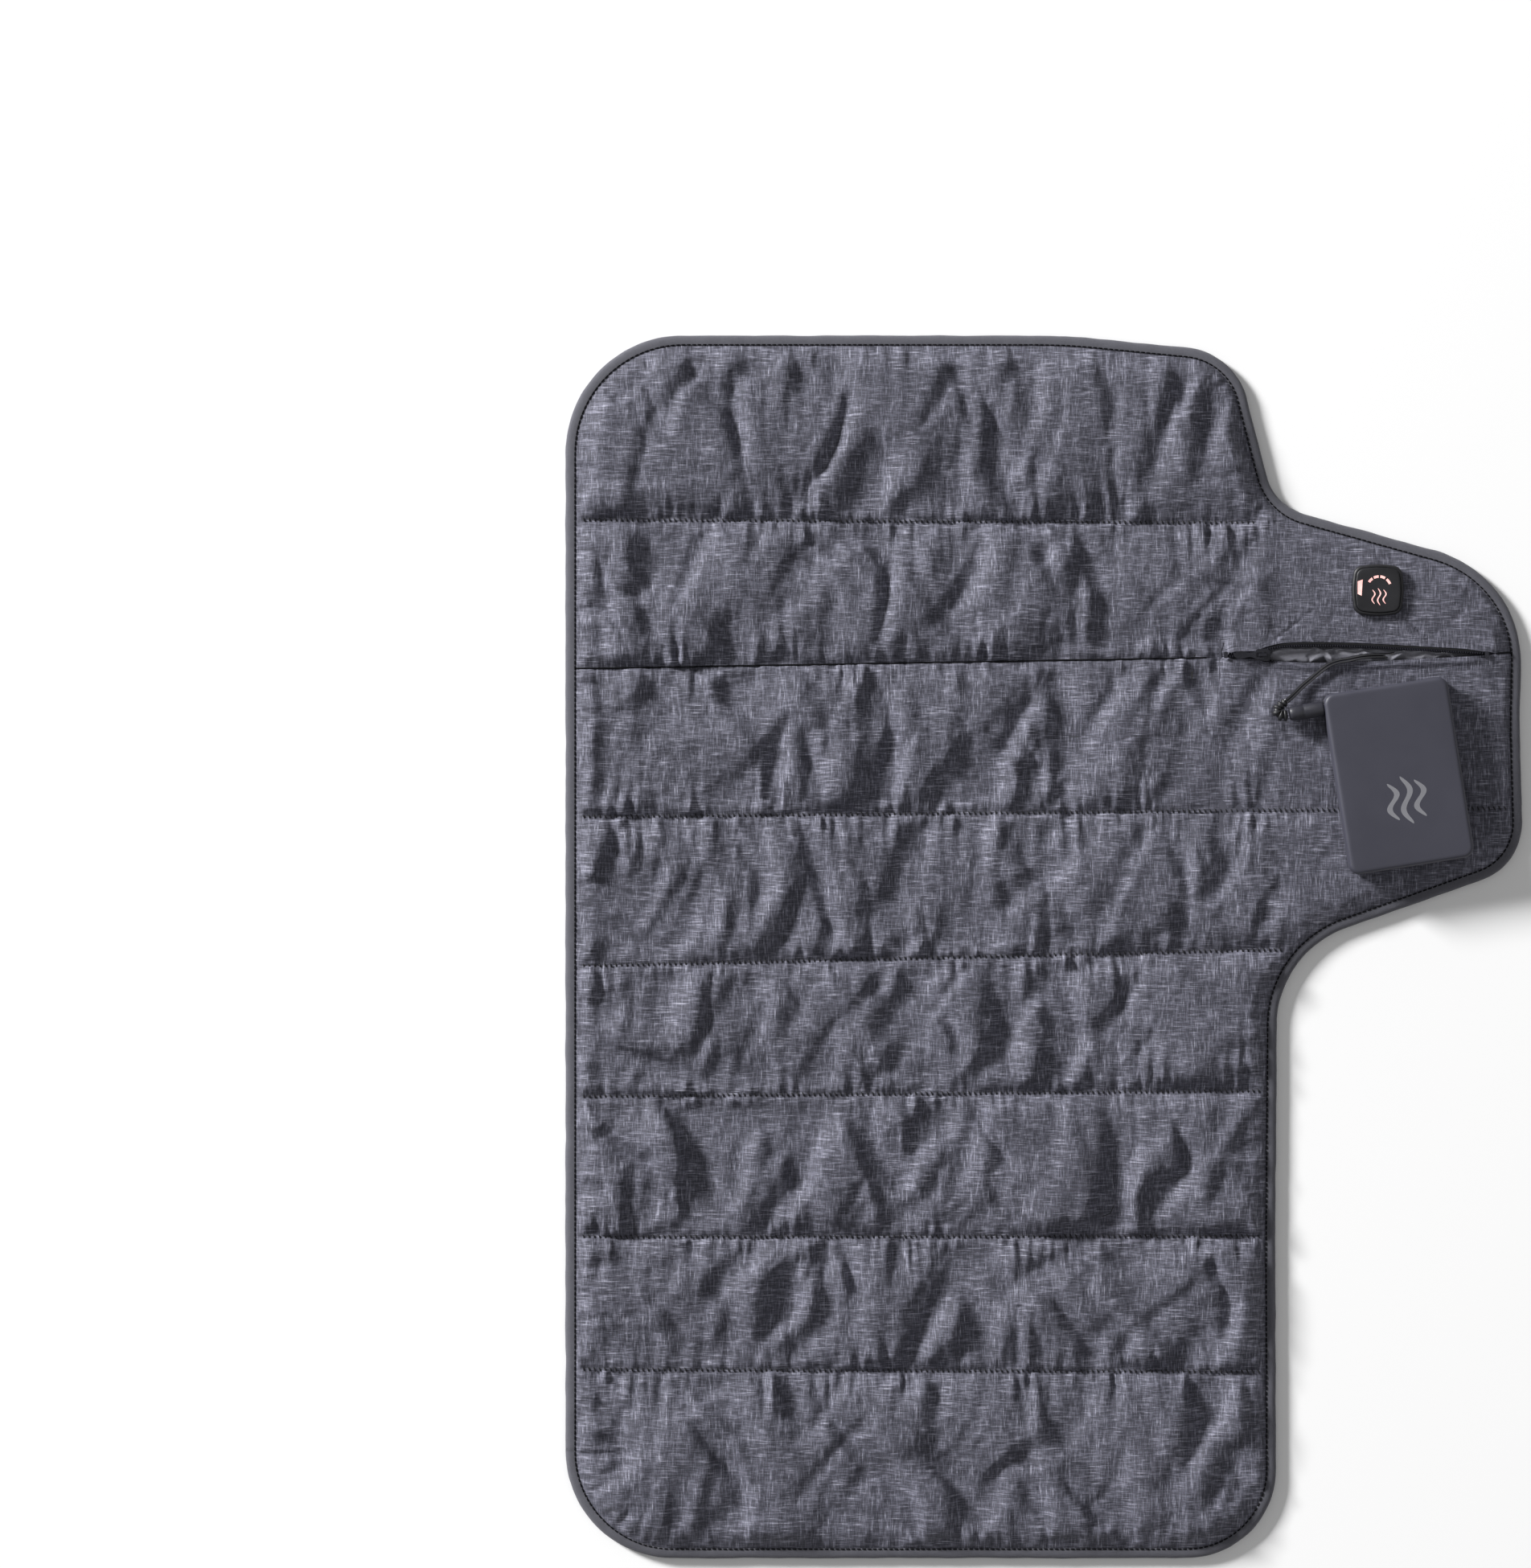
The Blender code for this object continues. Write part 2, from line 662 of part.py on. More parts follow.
def heating_wire(name, rect, mats):
    """A wire laid to and fro over its sheet, starting and ending at the right-hand side."""
    left, right = rect[0] + HEATING_MARGIN, rect[2] - HEATING_MARGIN * 2
    bottom, top = rect[1] + HEATING_MARGIN, rect[3] - HEATING_MARGIN
    pitch = (top - bottom) / (HEATING_PASSES - 1)
    height = HEATER_BOTTOM + HEATER_SHEET + GAP + HEATING_WIRE_RADIUS
    points = []
    for row in range(HEATING_PASSES):
        y = top - pitch * row
        ends = [left, right] if row % 2 else [right, left]
        points += [(x, y, height) for x in ends]
        if row < HEATING_PASSES - 1:
            side = 1.0 if row % 2 else -1.0
            for k in range(1, 4):
                angle = math.pi * k / 4
                bulge = side * pitch / 2 * math.sin(angle)
                along = y - pitch / 2 + pitch / 2 * math.cos(angle)
                points.append((ends[1] + bulge, along, height))
    return tube(name, points, HEATING_WIRE_RADIUS, mats["carbon"], detail=1)


def thermal_cutoff(name, x, y, mats):
    """A flat temperature switch at the end of a heater."""
    obj = rounded_box(name, CUTOFF_SIZE, CUTOFF_CORNER, mats["cutoff"], steps=2)
    return place(obj, (x, y, WIRE_HEIGHT - CUTOFF_SIZE[2] / 2))


def make_heaters(mats):
    """Both heaters, each with its wire, its cut-off and the harness from the controller."""
    for label, rect in (("upper", HEATER_UPPER), ("lower", HEATER_LOWER)):
        heater_sheet(f"heater_sheet_{label}", rect, mats)
        heating_wire(f"heating_wire_{label}", rect, mats)
    start_x = CONTROLLER_X - HOUSING_SIDE / 2 - GAP
    cutoff_x = HEATER_UPPER[2] + GAP * 2 + CUTOFF_SIZE[0] / 2
    cutoff_end = cutoff_x + CUTOFF_SIZE[0] / 2 + GAP
    upper_y = HEATER_UPPER[3] - HEATING_MARGIN
    lower_y = HEATER_LOWER[3] - HEATING_MARGIN
    thermal_cutoff("thermal_cutoff_upper", cutoff_x, upper_y, mats)
    thermal_cutoff("thermal_cutoff_lower", cutoff_x, lower_y, mats)
    branch_y = CONTROLLER_Y + HARNESS_SPREAD
    main_y = CONTROLLER_Y - HARNESS_SPREAD
    branch = [
        (start_x, branch_y, WIRE_HEIGHT),
        (HARNESS_TURN_X, branch_y, WIRE_HEIGHT),
        (HARNESS_BEND_X + 8 * MM, branch_y + 12 * MM, WIRE_HEIGHT),
        (HARNESS_BEND_X, upper_y - 3 * MM, WIRE_HEIGHT),
        (cutoff_end, upper_y, WIRE_HEIGHT),
    ]
    main = [
        (start_x, main_y, WIRE_HEIGHT),
        (HARNESS_TURN_X, main_y, WIRE_HEIGHT),
        (HARNESS_BEND_X, main_y - 12 * MM, WIRE_HEIGHT),
        (HARNESS_X, main_y - 50 * MM, WIRE_HEIGHT),
        (HARNESS_X, 60 * MM, WIRE_HEIGHT),
        (HARNESS_X, FOLD_Y + GAP, WIRE_HEIGHT),
    ]
    below = [
        (HARNESS_X, FOLD_Y - GAP, WIRE_HEIGHT),
        (HARNESS_X, lower_y + 10 * MM, WIRE_HEIGHT),
        (HARNESS_X - 1.5 * MM, lower_y + 3 * MM, WIRE_HEIGHT),
        (cutoff_end, lower_y, WIRE_HEIGHT),
    ]
    for name, route in (
        ("harness_branch_upper", branch),
        ("harness_main", main),
        ("harness_branch_lower", below),
    ):
        tube(name, smooth_route(route, HARNESS_STEP), HARNESS_RADIUS, mats["wire"], detail=1)


# The pocket and its zip


def make_pocket(mats):
    """The bag that holds the battery: two leaves and the seam that joins them."""
    width, length = POCKET[2] - POCKET[0], POCKET[3] - POCKET[1]
    centre = ((POCKET[0] + POCKET[2]) / 2, (POCKET[1] + POCKET[3]) / 2)
    leaf_size = (width, length, POCKET_WALL)
    back = rounded_box("pocket_back", leaf_size, POCKET_CORNER, mats["satin"])
    place(back, (*centre, POCKET_BOTTOM))
    front = rounded_box("pocket_front", leaf_size, POCKET_CORNER, mats["satin"])
    place(front, (*centre, POCKET_TOP - POCKET_WALL))
    mouth = cutter_box(
        "bag_mouth",
        (ZIP_START_X - POCKET_MOUTH_END, ZIP_Y - POCKET_MOUTH_HALF, POCKET_TOP - 2 * POCKET_WALL),
        (ZIP_END_X + POCKET_MOUTH_END, ZIP_Y + POCKET_MOUTH_HALF, POCKET_TOP + POCKET_WALL),
    )
    cut(front, mouth)
    seam_bottom = POCKET_BOTTOM + POCKET_WALL + POCKET_SEAM_GAP
    height = POCKET_TOP - POCKET_WALL - POCKET_SEAM_GAP - seam_bottom
    seam = rounded_box("pocket_seam", (width, length, height), POCKET_CORNER, mats["satin"])
    place(seam, (*centre, seam_bottom))
    inner_size = (width - 2 * POCKET_SEAM, length - 2 * POCKET_SEAM, height + 2 * POCKET_WALL)
    inner = rounded_box("bag_inside", inner_size, POCKET_CORNER - POCKET_SEAM, None,
                        collection=cutters)
    hide_cutter(place(inner, (*centre, seam_bottom - POCKET_WALL)))
    cut(seam, inner)
    lead_x, lead_y, lead_z = (value * MM for value in LEAD_ROUTE[0])
    passage = cutter_box(
        "lead_passage",
        (lead_x - LEAD_PASSAGE_HALF, POCKET[3] - 2 * POCKET_SEAM, seam_bottom - POCKET_WALL),
        (lead_x + LEAD_PASSAGE_HALF, POCKET[3] + POCKET_SEAM, POCKET_TOP),
    )
    cut(seam, passage)
    grommet = cylinder("lead_grommet", GROMMET_RADIUS, GROMMET_LENGTH, mats["silicone"], 16)
    place(grommet, (lead_x, lead_y + GAP, lead_z), turn=math.pi / 2)


def zip_stations():
    """Places along the zip, evenly spaced."""
    return [ZIP_START_X + (ZIP_END_X - ZIP_START_X) * i / ZIP_STEPS for i in range(ZIP_STEPS + 1)]


def chain_half(name, side, bow, mats):
    """One half of the zip's coil."""
    points = []
    for x in zip_stations():
        points.append((x, ZIP_Y + side * (CHAIN_HALF_PITCH + zip_gap(x, bow)), CHAIN_HEIGHT))
    return tube(name, points, CHAIN_RADIUS, mats["coil"], detail=1)


def tape_half(name, side, bow, mats):
    """The woven tape that carries one half of the coil."""
    bm = bmesh.new()
    near, far = [], []
    for x in zip_stations():
        edge = CHAIN_HALF_PITCH + CHAIN_RADIUS + GAP + zip_gap(x, bow)
        near.append(bm.verts.new((x, ZIP_Y + side * edge, TAPE_BOTTOM)))
        far.append(bm.verts.new((x, ZIP_Y + side * (edge + TAPE_WIDTH), TAPE_BOTTOM)))
    for i in range(ZIP_STEPS):
        bm.faces.new((near[i], near[i + 1], far[i + 1], far[i]))
    obj = add_object(name, finish_mesh(bm, name), mats["tape"])
    solid = obj.modifiers.new("thickness", "SOLIDIFY")
    solid.thickness = TAPE_TOP - TAPE_BOTTOM
    solid.offset = side
    return obj


def make_slider(mats):
    """The slider's two plates joined by its wedge, with a bridge for the pull."""
    slider = rounded_box("zip_slider", PLATE_SIZE, PLATE_CORNER, mats["slider"])
    place(slider, (SLIDER_X, ZIP_Y, PLATE_HIGH))
    under = rounded_box("slider_plate", PLATE_SIZE, PLATE_CORNER, None, collection=cutters)
    hide_cutter(place(under, (SLIDER_X, ZIP_Y, PLATE_LOW)))
    wedge = rounded_box("slider_wedge", WEDGE_SIZE, WEDGE_CORNER, None, steps=2,
                        collection=cutters)
    hide_cutter(place(wedge, (SLIDER_X + WEDGE_OFFSET, ZIP_Y, WEDGE_BOTTOM)))
    bridge = rounded_box("slider_bridge", BRIDGE_SIZE, 0.0, None, top_edge=BRIDGE_EDGE,
                         collection=cutters)
    hide_cutter(place(bridge, (SLIDER_X, ZIP_Y, BRIDGE_BOTTOM)))
    for added in (under, wedge, bridge):
        cut(slider, added, "UNION")
    eye = cutter_box(
        "slider_eye",
        (SLIDER_X - EYE_HALF, ZIP_Y - BRIDGE_SIZE[1], EYE_BOTTOM),
        (SLIDER_X + EYE_HALF, ZIP_Y + BRIDGE_SIZE[1], EYE_TOP),
    )
    cut(slider, eye)


def make_pull(mats):
    """The pull: a leaf-shaped tag on a loop through the slider's bridge."""
    corners = [(x, -y) for x, y in PULL_SIDE[:1]] + PULL_SIDE
    corners += [(x, -y) for x, y in reversed(PULL_SIDE[1:])]
    bm = bmesh.new()
    face = bm.faces.new(
        [bm.verts.new((x * MM, y * MM, -PULL_THICKNESS / 2)) for x, y in corners]
    )
    pushed = bmesh.ops.extrude_face_region(bm, geom=[face])["geom"]
    raised = [v for v in pushed if isinstance(v, bmesh.types.BMVert)]
    bmesh.ops.translate(bm, vec=(0, 0, PULL_THICKNESS), verts=raised)
    pull = add_object("zip_pull", finish_mesh(bm, "zip_pull", False), mats["slider"])
    place(pull, (SLIDER_X, ZIP_Y, PULL_HEIGHT))
    window = cutter_box(
        "pull_window",
        (SLIDER_X + PULL_WINDOW[0], ZIP_Y - PULL_WINDOW_HALF, PULL_HEIGHT - CUT_DEPTH),
        (SLIDER_X + PULL_WINDOW[1], ZIP_Y + PULL_WINDOW_HALF, PULL_HEIGHT + CUT_DEPTH),
    )
    cut(pull, window)


def make_zip(mats):
    """The two halves of the zip, its stops, the slider and the pull."""
    for name, side, bow in (("front", 1.0, ZIP_BOW_FRONT), ("back", -1.0, ZIP_BOW_BACK)):
        chain_half(f"zip_chain_{name}", side, bow, mats)
        tape_half(f"zip_tape_{name}", side, bow, mats)
    for name, x in (
        ("zip_stop_start", ZIP_START_X - STOP_OFFSET),
        ("zip_stop_end", ZIP_END_X + STOP_OFFSET),
    ):
        stop = rounded_box(name, STOP_SIZE, STOP_CORNER, mats["metal"], steps=2)
        place(stop, (x, ZIP_Y, STOP_BOTTOM))
    make_slider(mats)
    make_pull(mats)


# The controller


def make_housing(mats):
    """The housing inside the tab, its board, its switch and its lamps."""
    centre = (CONTROLLER_X, CONTROLLER_Y)
    height = HOUSING_TOP - HOUSING_BOTTOM
    housing = rounded_box("controller_housing", (HOUSING_SIDE, HOUSING_SIDE, height),
                          HOUSING_CORNER, mats["plastic"])
    place(housing, (*centre, HOUSING_BOTTOM))
    inside = HOUSING_SIDE - 2 * HOUSING_WALL
    hollow = rounded_box("housing_hollow", (inside, inside, height), HOUSING_CORNER - 1 * MM, None,
                         collection=cutters)
    hide_cutter(place(hollow, (*centre, HOUSING_BOTTOM + HOUSING_WALL)))
    cut(housing, hollow)
    board = rounded_box("controller_board", (BOARD_SIDE, BOARD_SIDE, BOARD_THICKNESS),
                        BOARD_CORNER, mats["board"], steps=2)
    place(board, (*centre, BOARD_BOTTOM))
    on_board = BOARD_BOTTOM + BOARD_THICKNESS + GAP
    switch = rounded_box("tact_switch", SWITCH_SIZE, SWITCH_CORNER, mats["metal"], steps=2)
    place(switch, (*centre, on_board))
    lamps = []
    for degrees in LAMP_ARC_DEGREES:
        angle = math.radians(degrees)
        x = CONTROLLER_X + LAMP_ARC_RADIUS * math.cos(angle)
        y = CONTROLLER_Y + LAMP_ARC_RADIUS * math.sin(angle)
        lamps.append((x, y, on_board + LAMP_RADIUS + 0.1 * MM))
    tube("level_lamps", lamps, LAMP_RADIUS, mats["light"], detail=1)


def make_button(mats):
    """The frame on the fabric, and the button that presses on the switch."""
    centre = (CONTROLLER_X, CONTROLLER_Y)
    bezel = rounded_box("controller_frame", (BEZEL_SIDE, BEZEL_SIDE, BEZEL_TOP - BEZEL_BOTTOM),
                        BEZEL_CORNER, mats["silicone"], top_edge=BEZEL_EDGE, steps=5)
    place(bezel, (*centre, BEZEL_BOTTOM))
    window = rounded_box("frame_window", (CAP_WINDOW, CAP_WINDOW, 2 * CUT_DEPTH),
                         CAP_WINDOW_CORNER, None, collection=cutters, steps=5)
    hide_cutter(place(window, (*centre, BEZEL_BOTTOM + BEZEL_FLOOR)))
    cut(bezel, window)
    half = STEM_ROOM / 2
    stem_hole = cutter_box(
        "stem_hole",
        (CONTROLLER_X - half, CONTROLLER_Y - half, BEZEL_BOTTOM - CUT_DEPTH / 2),
        (CONTROLLER_X + half, CONTROLLER_Y + half, BEZEL_BOTTOM + CUT_DEPTH),
    )
    cut(bezel, stem_hole)
    cap = rounded_box("power_button", (CAP_SIDE, CAP_SIDE, CAP_TOP - CAP_BOTTOM), CAP_CORNER,
                      mats["silicone"], top_edge=CAP_EDGE, steps=5)
    place(cap, (*centre, CAP_BOTTOM))
    stem_bottom = BOARD_BOTTOM + BOARD_THICKNESS + GAP + SWITCH_SIZE[2] + SWITCH_TRAVEL
    stem_size = (STEM_SIDE, STEM_SIDE, CAP_BOTTOM + STEM_OVERLAP - stem_bottom)
    stem = rounded_box("button_stem", stem_size, 1 * MM, None, steps=2, collection=cutters)
    hide_cutter(place(stem, (*centre, stem_bottom)))
    cut(cap, stem, "UNION")


# The battery, its plug and the lead


def make_battery_case(mats, frame):
    """Two trays that close on each other, notched for the sockets."""
    half = BATTERY_THICKNESS / 2 - GAP / 2
    wall = BATTERY_WALL
    inner = (BATTERY_WIDTH - 2 * wall, BATTERY_LENGTH - 2 * wall, half)
    outer = (BATTERY_WIDTH, BATTERY_LENGTH, half)
    lower = rounded_box("battery_case_lower", outer, BATTERY_CORNER, mats["case"],
                        bottom_edge=BATTERY_EDGE)
    upper = rounded_box("battery_case_upper", outer, BATTERY_CORNER, mats["case"],
                        top_edge=BATTERY_EDGE)
    place(lower, (0, 0, 0), frame)
    place(upper, (0, 0, half + GAP), frame)
    corner = BATTERY_CORNER - wall
    low_room = rounded_box("case_room_lower", inner, corner, None, collection=cutters)
    high_room = rounded_box("case_room_upper", inner, corner, None, collection=cutters)
    hide_cutter(place(low_room, (0, 0, wall), frame))
    hide_cutter(place(high_room, (0, 0, half + GAP - wall), frame))
    cut(lower, low_room)
    cut(upper, high_room)
    middle = BATTERY_THICKNESS / 2
    left = -BATTERY_WIDTH / 2
    plug_hole = cylinder("plug_hole", SOCKET_RADIUS + GAP, 2 * CUT_DEPTH, None, 20,
                         collection=cutters)
    hide_cutter(place(plug_hole, (left - CUT_DEPTH / 2, PLUG_OFFSET_Y, middle), frame))
    port_hole = rounded_box("port_hole", PORT_HOLE, 0.0, None, collection=cutters)
    hide_cutter(place(port_hole, (left, CHARGE_PORT_Y, middle - PORT_HOLE[2] / 2), frame))
    for tray in (lower, upper):
        cut(tray, plug_hole)
        cut(tray, port_hole)


def make_battery_inside(mats, frame):
    """The cell, its board with both sockets, and the strip between them."""
    middle = BATTERY_THICKNESS / 2
    left = -BATTERY_WIDTH / 2
    cell = rounded_box("battery_cell", CELL_SIZE, CELL_CORNER, mats["cell"],
                       bottom_edge=CELL_EDGE, top_edge=CELL_EDGE, steps=2)
    place(cell, CELL_PLACE, frame)
    board = rounded_box("battery_board", BATTERY_BOARD_SIZE, 0.0, mats["board"])
    place(board, BATTERY_BOARD_PLACE, frame)
    strip = rounded_box("cell_strip", STRIP_SIZE, 0.0, mats["metal"])
    place(strip, STRIP_PLACE, frame)
    socket = cylinder("power_socket", SOCKET_RADIUS, SOCKET_LENGTH, mats["plastic"], 20)
    place(socket, (left + SOCKET_INSET, PLUG_OFFSET_Y, middle), frame)
    bore = cylinder("socket_bore", BARREL_RADIUS + GAP, SOCKET_LENGTH - CUT_DEPTH, None, 20,
                    collection=cutters)
    hide_cutter(place(bore, (left - CUT_DEPTH / 2, PLUG_OFFSET_Y, middle), frame))
    cut(socket, bore)
    port = rounded_box("charge_port", PORT_SIZE, 0.0, mats["metal"])
    port_x = left + PORT_INSET + PORT_SIZE[0] / 2
    place(port, (port_x, CHARGE_PORT_Y, middle - PORT_SIZE[2] / 2), frame)
    mouth_size = (5 * CUT_DEPTH, PORT_SIZE[1] - 2 * PORT_WALL, PORT_SIZE[2] - 2 * PORT_WALL)
    mouth = rounded_box("port_mouth", mouth_size, 0.0, None, collection=cutters)
    hide_cutter(place(mouth, (left, CHARGE_PORT_Y, middle - mouth_size[2] / 2), frame))
    cut(port, mouth)


def make_plug(mats, frame):
    """The moulded plug and its metal barrel, in line with the battery's socket."""
    left = -BATTERY_WIDTH / 2
    middle = BATTERY_THICKNESS / 2
    body = cylinder("plug_body", PLUG_RADIUS - PLUG_TAPER, PLUG_LENGTH, mats["silicone"], 24,
                    PLUG_RADIUS)
    place(body, (left - GAP - PLUG_LENGTH, PLUG_OFFSET_Y, middle), frame)
    barrel = cylinder("plug_barrel", BARREL_RADIUS, BARREL_LENGTH, mats["metal"], 20)
    place(barrel, (left, PLUG_OFFSET_Y, middle), frame)
    bore = cylinder("barrel_bore", BARREL_RADIUS - BARREL_WALL, BARREL_LENGTH, None, 12,
                    collection=cutters)
    hide_cutter(place(bore, (left + CUT_DEPTH / 2, PLUG_OFFSET_Y, middle), frame))
    cut(barrel, bore)


def make_lead(mats):
    """The lead outside, its boot at the plug, and its stretch inside to the housing."""
    route = [(x * MM, y * MM, z * MM) for x, y, z in LEAD_ROUTE]
    tube("power_lead", smooth_route(route, LEAD_STEP), LEAD_RADIUS, mats["wire"])
    boot = [(x * MM, y * MM, z * MM) for x, y, z, _ in BOOT_ROUTE]
    radii = [radius for _, _, _, radius in BOOT_ROUTE]
    tube("plug_boot", boot, 1.0 * MM, mats["silicone"], detail=3, radii=radii)
    lead_x, lead_y, lead_z = route[0]
    inner = [(lead_x + x * MM, lead_y + y * MM, lead_z) for x, y in INNER_LEAD_ROUTE]
    inner.append((lead_x + INNER_LEAD_END, CONTROLLER_Y - HOUSING_SIDE / 2 - GAP, lead_z))
    tube("controller_lead", smooth_route(inner, INNER_LEAD_STEP), INNER_LEAD_RADIUS,
         mats["wire"], detail=1)


def make_battery(mats):
    """The battery and its plug, turned on the tab."""
    frame = bpy.data.objects.new("battery_frame", None)
    parts.objects.link(frame)
    frame.location = (*BATTERY_CENTRE, BATTERY_BOTTOM)
    frame.rotation_euler = (0.0, 0.0, BATTERY_TURN)
    make_battery_case(mats, frame)
    make_battery_inside(mats, frame)
    make_plug(mats, frame)


def main():
    clear_scene()
    mats = make_materials()
    make_lining(mats)
    make_binding(mats)
    make_front(mats)
    make_batting(mats)
    make_heaters(mats)
    make_pocket(mats)
    make_zip(mats)
    make_housing(mats)
    make_button(mats)
    make_battery(mats)
    make_lead(mats)


main()
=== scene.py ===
"""Looks of the heated pad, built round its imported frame. Lengths are in metres unless a name
ends in _mm; grids of points are worked out in millimetres and scaled once, at the mesh."""

import json
import math

import bmesh
import bpy
import numpy as np
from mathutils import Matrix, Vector, noise


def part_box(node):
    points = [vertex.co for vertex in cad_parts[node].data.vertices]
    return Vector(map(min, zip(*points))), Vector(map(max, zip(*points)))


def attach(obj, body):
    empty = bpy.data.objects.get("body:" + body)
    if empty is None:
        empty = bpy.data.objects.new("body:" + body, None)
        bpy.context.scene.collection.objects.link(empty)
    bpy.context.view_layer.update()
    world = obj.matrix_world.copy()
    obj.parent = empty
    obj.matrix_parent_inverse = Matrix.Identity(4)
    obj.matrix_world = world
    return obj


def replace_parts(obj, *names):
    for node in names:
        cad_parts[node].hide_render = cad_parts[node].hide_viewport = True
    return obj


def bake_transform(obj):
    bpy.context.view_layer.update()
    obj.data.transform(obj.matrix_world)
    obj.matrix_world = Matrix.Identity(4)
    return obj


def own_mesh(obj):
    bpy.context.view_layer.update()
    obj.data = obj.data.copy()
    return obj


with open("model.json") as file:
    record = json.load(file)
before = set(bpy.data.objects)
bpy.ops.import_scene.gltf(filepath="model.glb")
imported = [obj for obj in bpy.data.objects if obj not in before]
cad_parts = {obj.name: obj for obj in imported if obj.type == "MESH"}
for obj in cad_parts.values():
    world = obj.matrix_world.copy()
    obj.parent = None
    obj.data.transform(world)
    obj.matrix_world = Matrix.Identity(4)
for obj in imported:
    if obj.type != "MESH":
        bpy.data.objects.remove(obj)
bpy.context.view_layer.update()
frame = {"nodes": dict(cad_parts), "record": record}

MM = 0.001

# Camera, floor and lights

CAMERA_AT = (-0.15615, 0.09135)
CAMERA_LENS = 120
CAMERA_HEIGHT = 2.935
WORLD_STRENGTH = 0.25
FLOOR_HALF = 40
FLOOR_GAP = 0.0004


def make_camera():
    """A camera looking straight down."""
    data = bpy.data.cameras.new("camera")
    data.lens = CAMERA_LENS
    data.sensor_width = 36
    data.clip_end = 50
    camera = bpy.data.objects.new("camera", data)
    camera.location = (*CAMERA_AT, CAMERA_HEIGHT)
    bpy.context.scene.collection.objects.link(camera)
    bpy.context.scene.camera = camera


def area_light(name, place, size, power):
    """A square soft light that points at the origin."""
    data = bpy.data.lights.new(name, "AREA")
    data.shape = "SQUARE"
    data.size = size
    data.energy = power
    light = bpy.data.objects.new(name, data)
    light.location = place
    light.rotation_mode = "QUATERNION"
    light.rotation_quaternion = (-Vector(place)).to_track_quat("-Z", "Y")
    bpy.context.scene.collection.objects.link(light)


def make_stage():
    """A plain pale floor, a pale world, a low key light and a soft fill."""
    world = bpy.data.worlds.new("world")
    world.use_nodes = True
    background = world.node_tree.nodes["Background"]
    background.inputs["Color"].default_value = (1.0, 1.0, 1.0, 1.0)
    background.inputs["Strength"].default_value = WORLD_STRENGTH
    bpy.context.scene.world = world
    bpy.context.scene.view_settings.view_transform = "Standard"
    area_light("key", (-8.0, 5.2, 3.7), size=2.0, power=2120)
    area_light("fill", (1.2, -0.6, 2.8), size=2.4, power=8)
    bm = bmesh.new()
    bmesh.ops.create_grid(bm, x_segments=1, y_segments=1, size=FLOOR_HALF)
    floor = add_mesh("floor", bm)
    floor.location.z = -FLOOR_GAP
    return floor


# Mesh helpers


def add_mesh(name, bm, smooth=True):
    """Links a bmesh as an object."""
    mesh = bpy.data.meshes.new(name)
    bm.to_mesh(mesh)
    bm.free()
    return link_mesh(name, mesh, smooth)


def link_mesh(name, mesh, smooth=True):
    """Links a mesh as an object."""
    if smooth:
        mesh.shade_smooth()
    obj = bpy.data.objects.new(name, mesh)
    bpy.context.scene.collection.objects.link(obj)
    return obj


def mesh_from(name, points_mm, faces, uv_mm=None):
    """An object from arrays of points and faces, with an optional map in metres."""
    mesh = bpy.data.meshes.new(name)
    mesh.from_pydata((np.asarray(points_mm) * MM).tolist(), [], [list(f) for f in faces])
    if uv_mm is not None:
        layer = mesh.uv_layers.new(name="cloth")
        loops = np.empty(len(mesh.loops), np.int32)
        mesh.loops.foreach_get("vertex_index", loops)
        layer.data.foreach_set("uv", (np.asarray(uv_mm)[loops] * MM).astype(np.float32).ravel())
    mesh.validate()
    mesh.update()
    return link_mesh(name, mesh)


def whole_cells(keep):
    """The grid's cells whose four corners are all kept."""
    return keep[:-1, :-1] & keep[1:, :-1] & keep[:-1, 1:] & keep[1:, 1:]


def grid_faces(cell, used):
    """Faces over a grid's cells, whose used points are numbered in order."""
    number = -np.ones(used.shape, int)
    number[used] = np.arange(used.sum())
    j, i = np.nonzero(cell)
    return np.stack([number[j, i], number[j + 1, i], number[j + 1, i + 1], number[j, i + 1]], 1)


def grid_piece(name, points_mm, flat_mm, keep, rows_rise=False):
    """A sheet over a grid of points, less the cells with a corner that isn't kept."""
    cell = whole_cells(keep)
    used = np.zeros(keep.shape, bool)
    for a in (slice(None, -1), slice(1, None)):
        for b in (slice(None, -1), slice(1, None)):
            used[a, b] |= cell
    faces = grid_faces(cell, used)
    if rows_rise:
        faces = faces[:, (0, 3, 2, 1)]
    return mesh_from(name, points_mm[used], faces, flat_mm[used])


def smooth_step(low, high, value):
    """0 below low, 1 above high, and a smooth rise between them."""
    t = np.clip((value - low) / (high - low), 0, 1)
    return t * t * (3 - 2 * t)


def plateau(x, first, full, still, last):
    """0 outside first and last, 1 from full to still, and smooth slopes between them."""
    return smooth_step(first, full, x) * (1 - smooth_step(still, last, x))


def streaks(x, y, wide, tall, seed, octaves=2):
    """Fractal noise over arrays, wide by tall millimetres to a cell."""
    flat = [
        noise.fractal(Vector((a, b, seed)), 1.0, 2.0, octaves)
        for a, b in zip((x / wide).ravel(), (y / tall).ravel())
    ]
    return np.array(flat).reshape(x.shape)


def smooth_route(points, step):
    """Evenly spaced points on a Catmull-Rom curve through the given ones."""
    p = np.asarray(points, float)
    p = np.vstack([2 * p[0] - p[1], p, 2 * p[-1] - p[-2]])
    dense = []
    for i in range(1, len(p) - 2):
        a, b, c, d = p[i - 1 : i + 3]
        for t in np.arange(0, 1, 0.05):
            cubic = (3 * b - 3 * c + d - a) * t**3
            square = (2 * a - 5 * b + 4 * c - d) * t**2
            dense.append(0.5 * (2 * b + (c - a) * t + square + cubic))
    dense.append(p[-2])
    return even_points(np.array(dense), step)


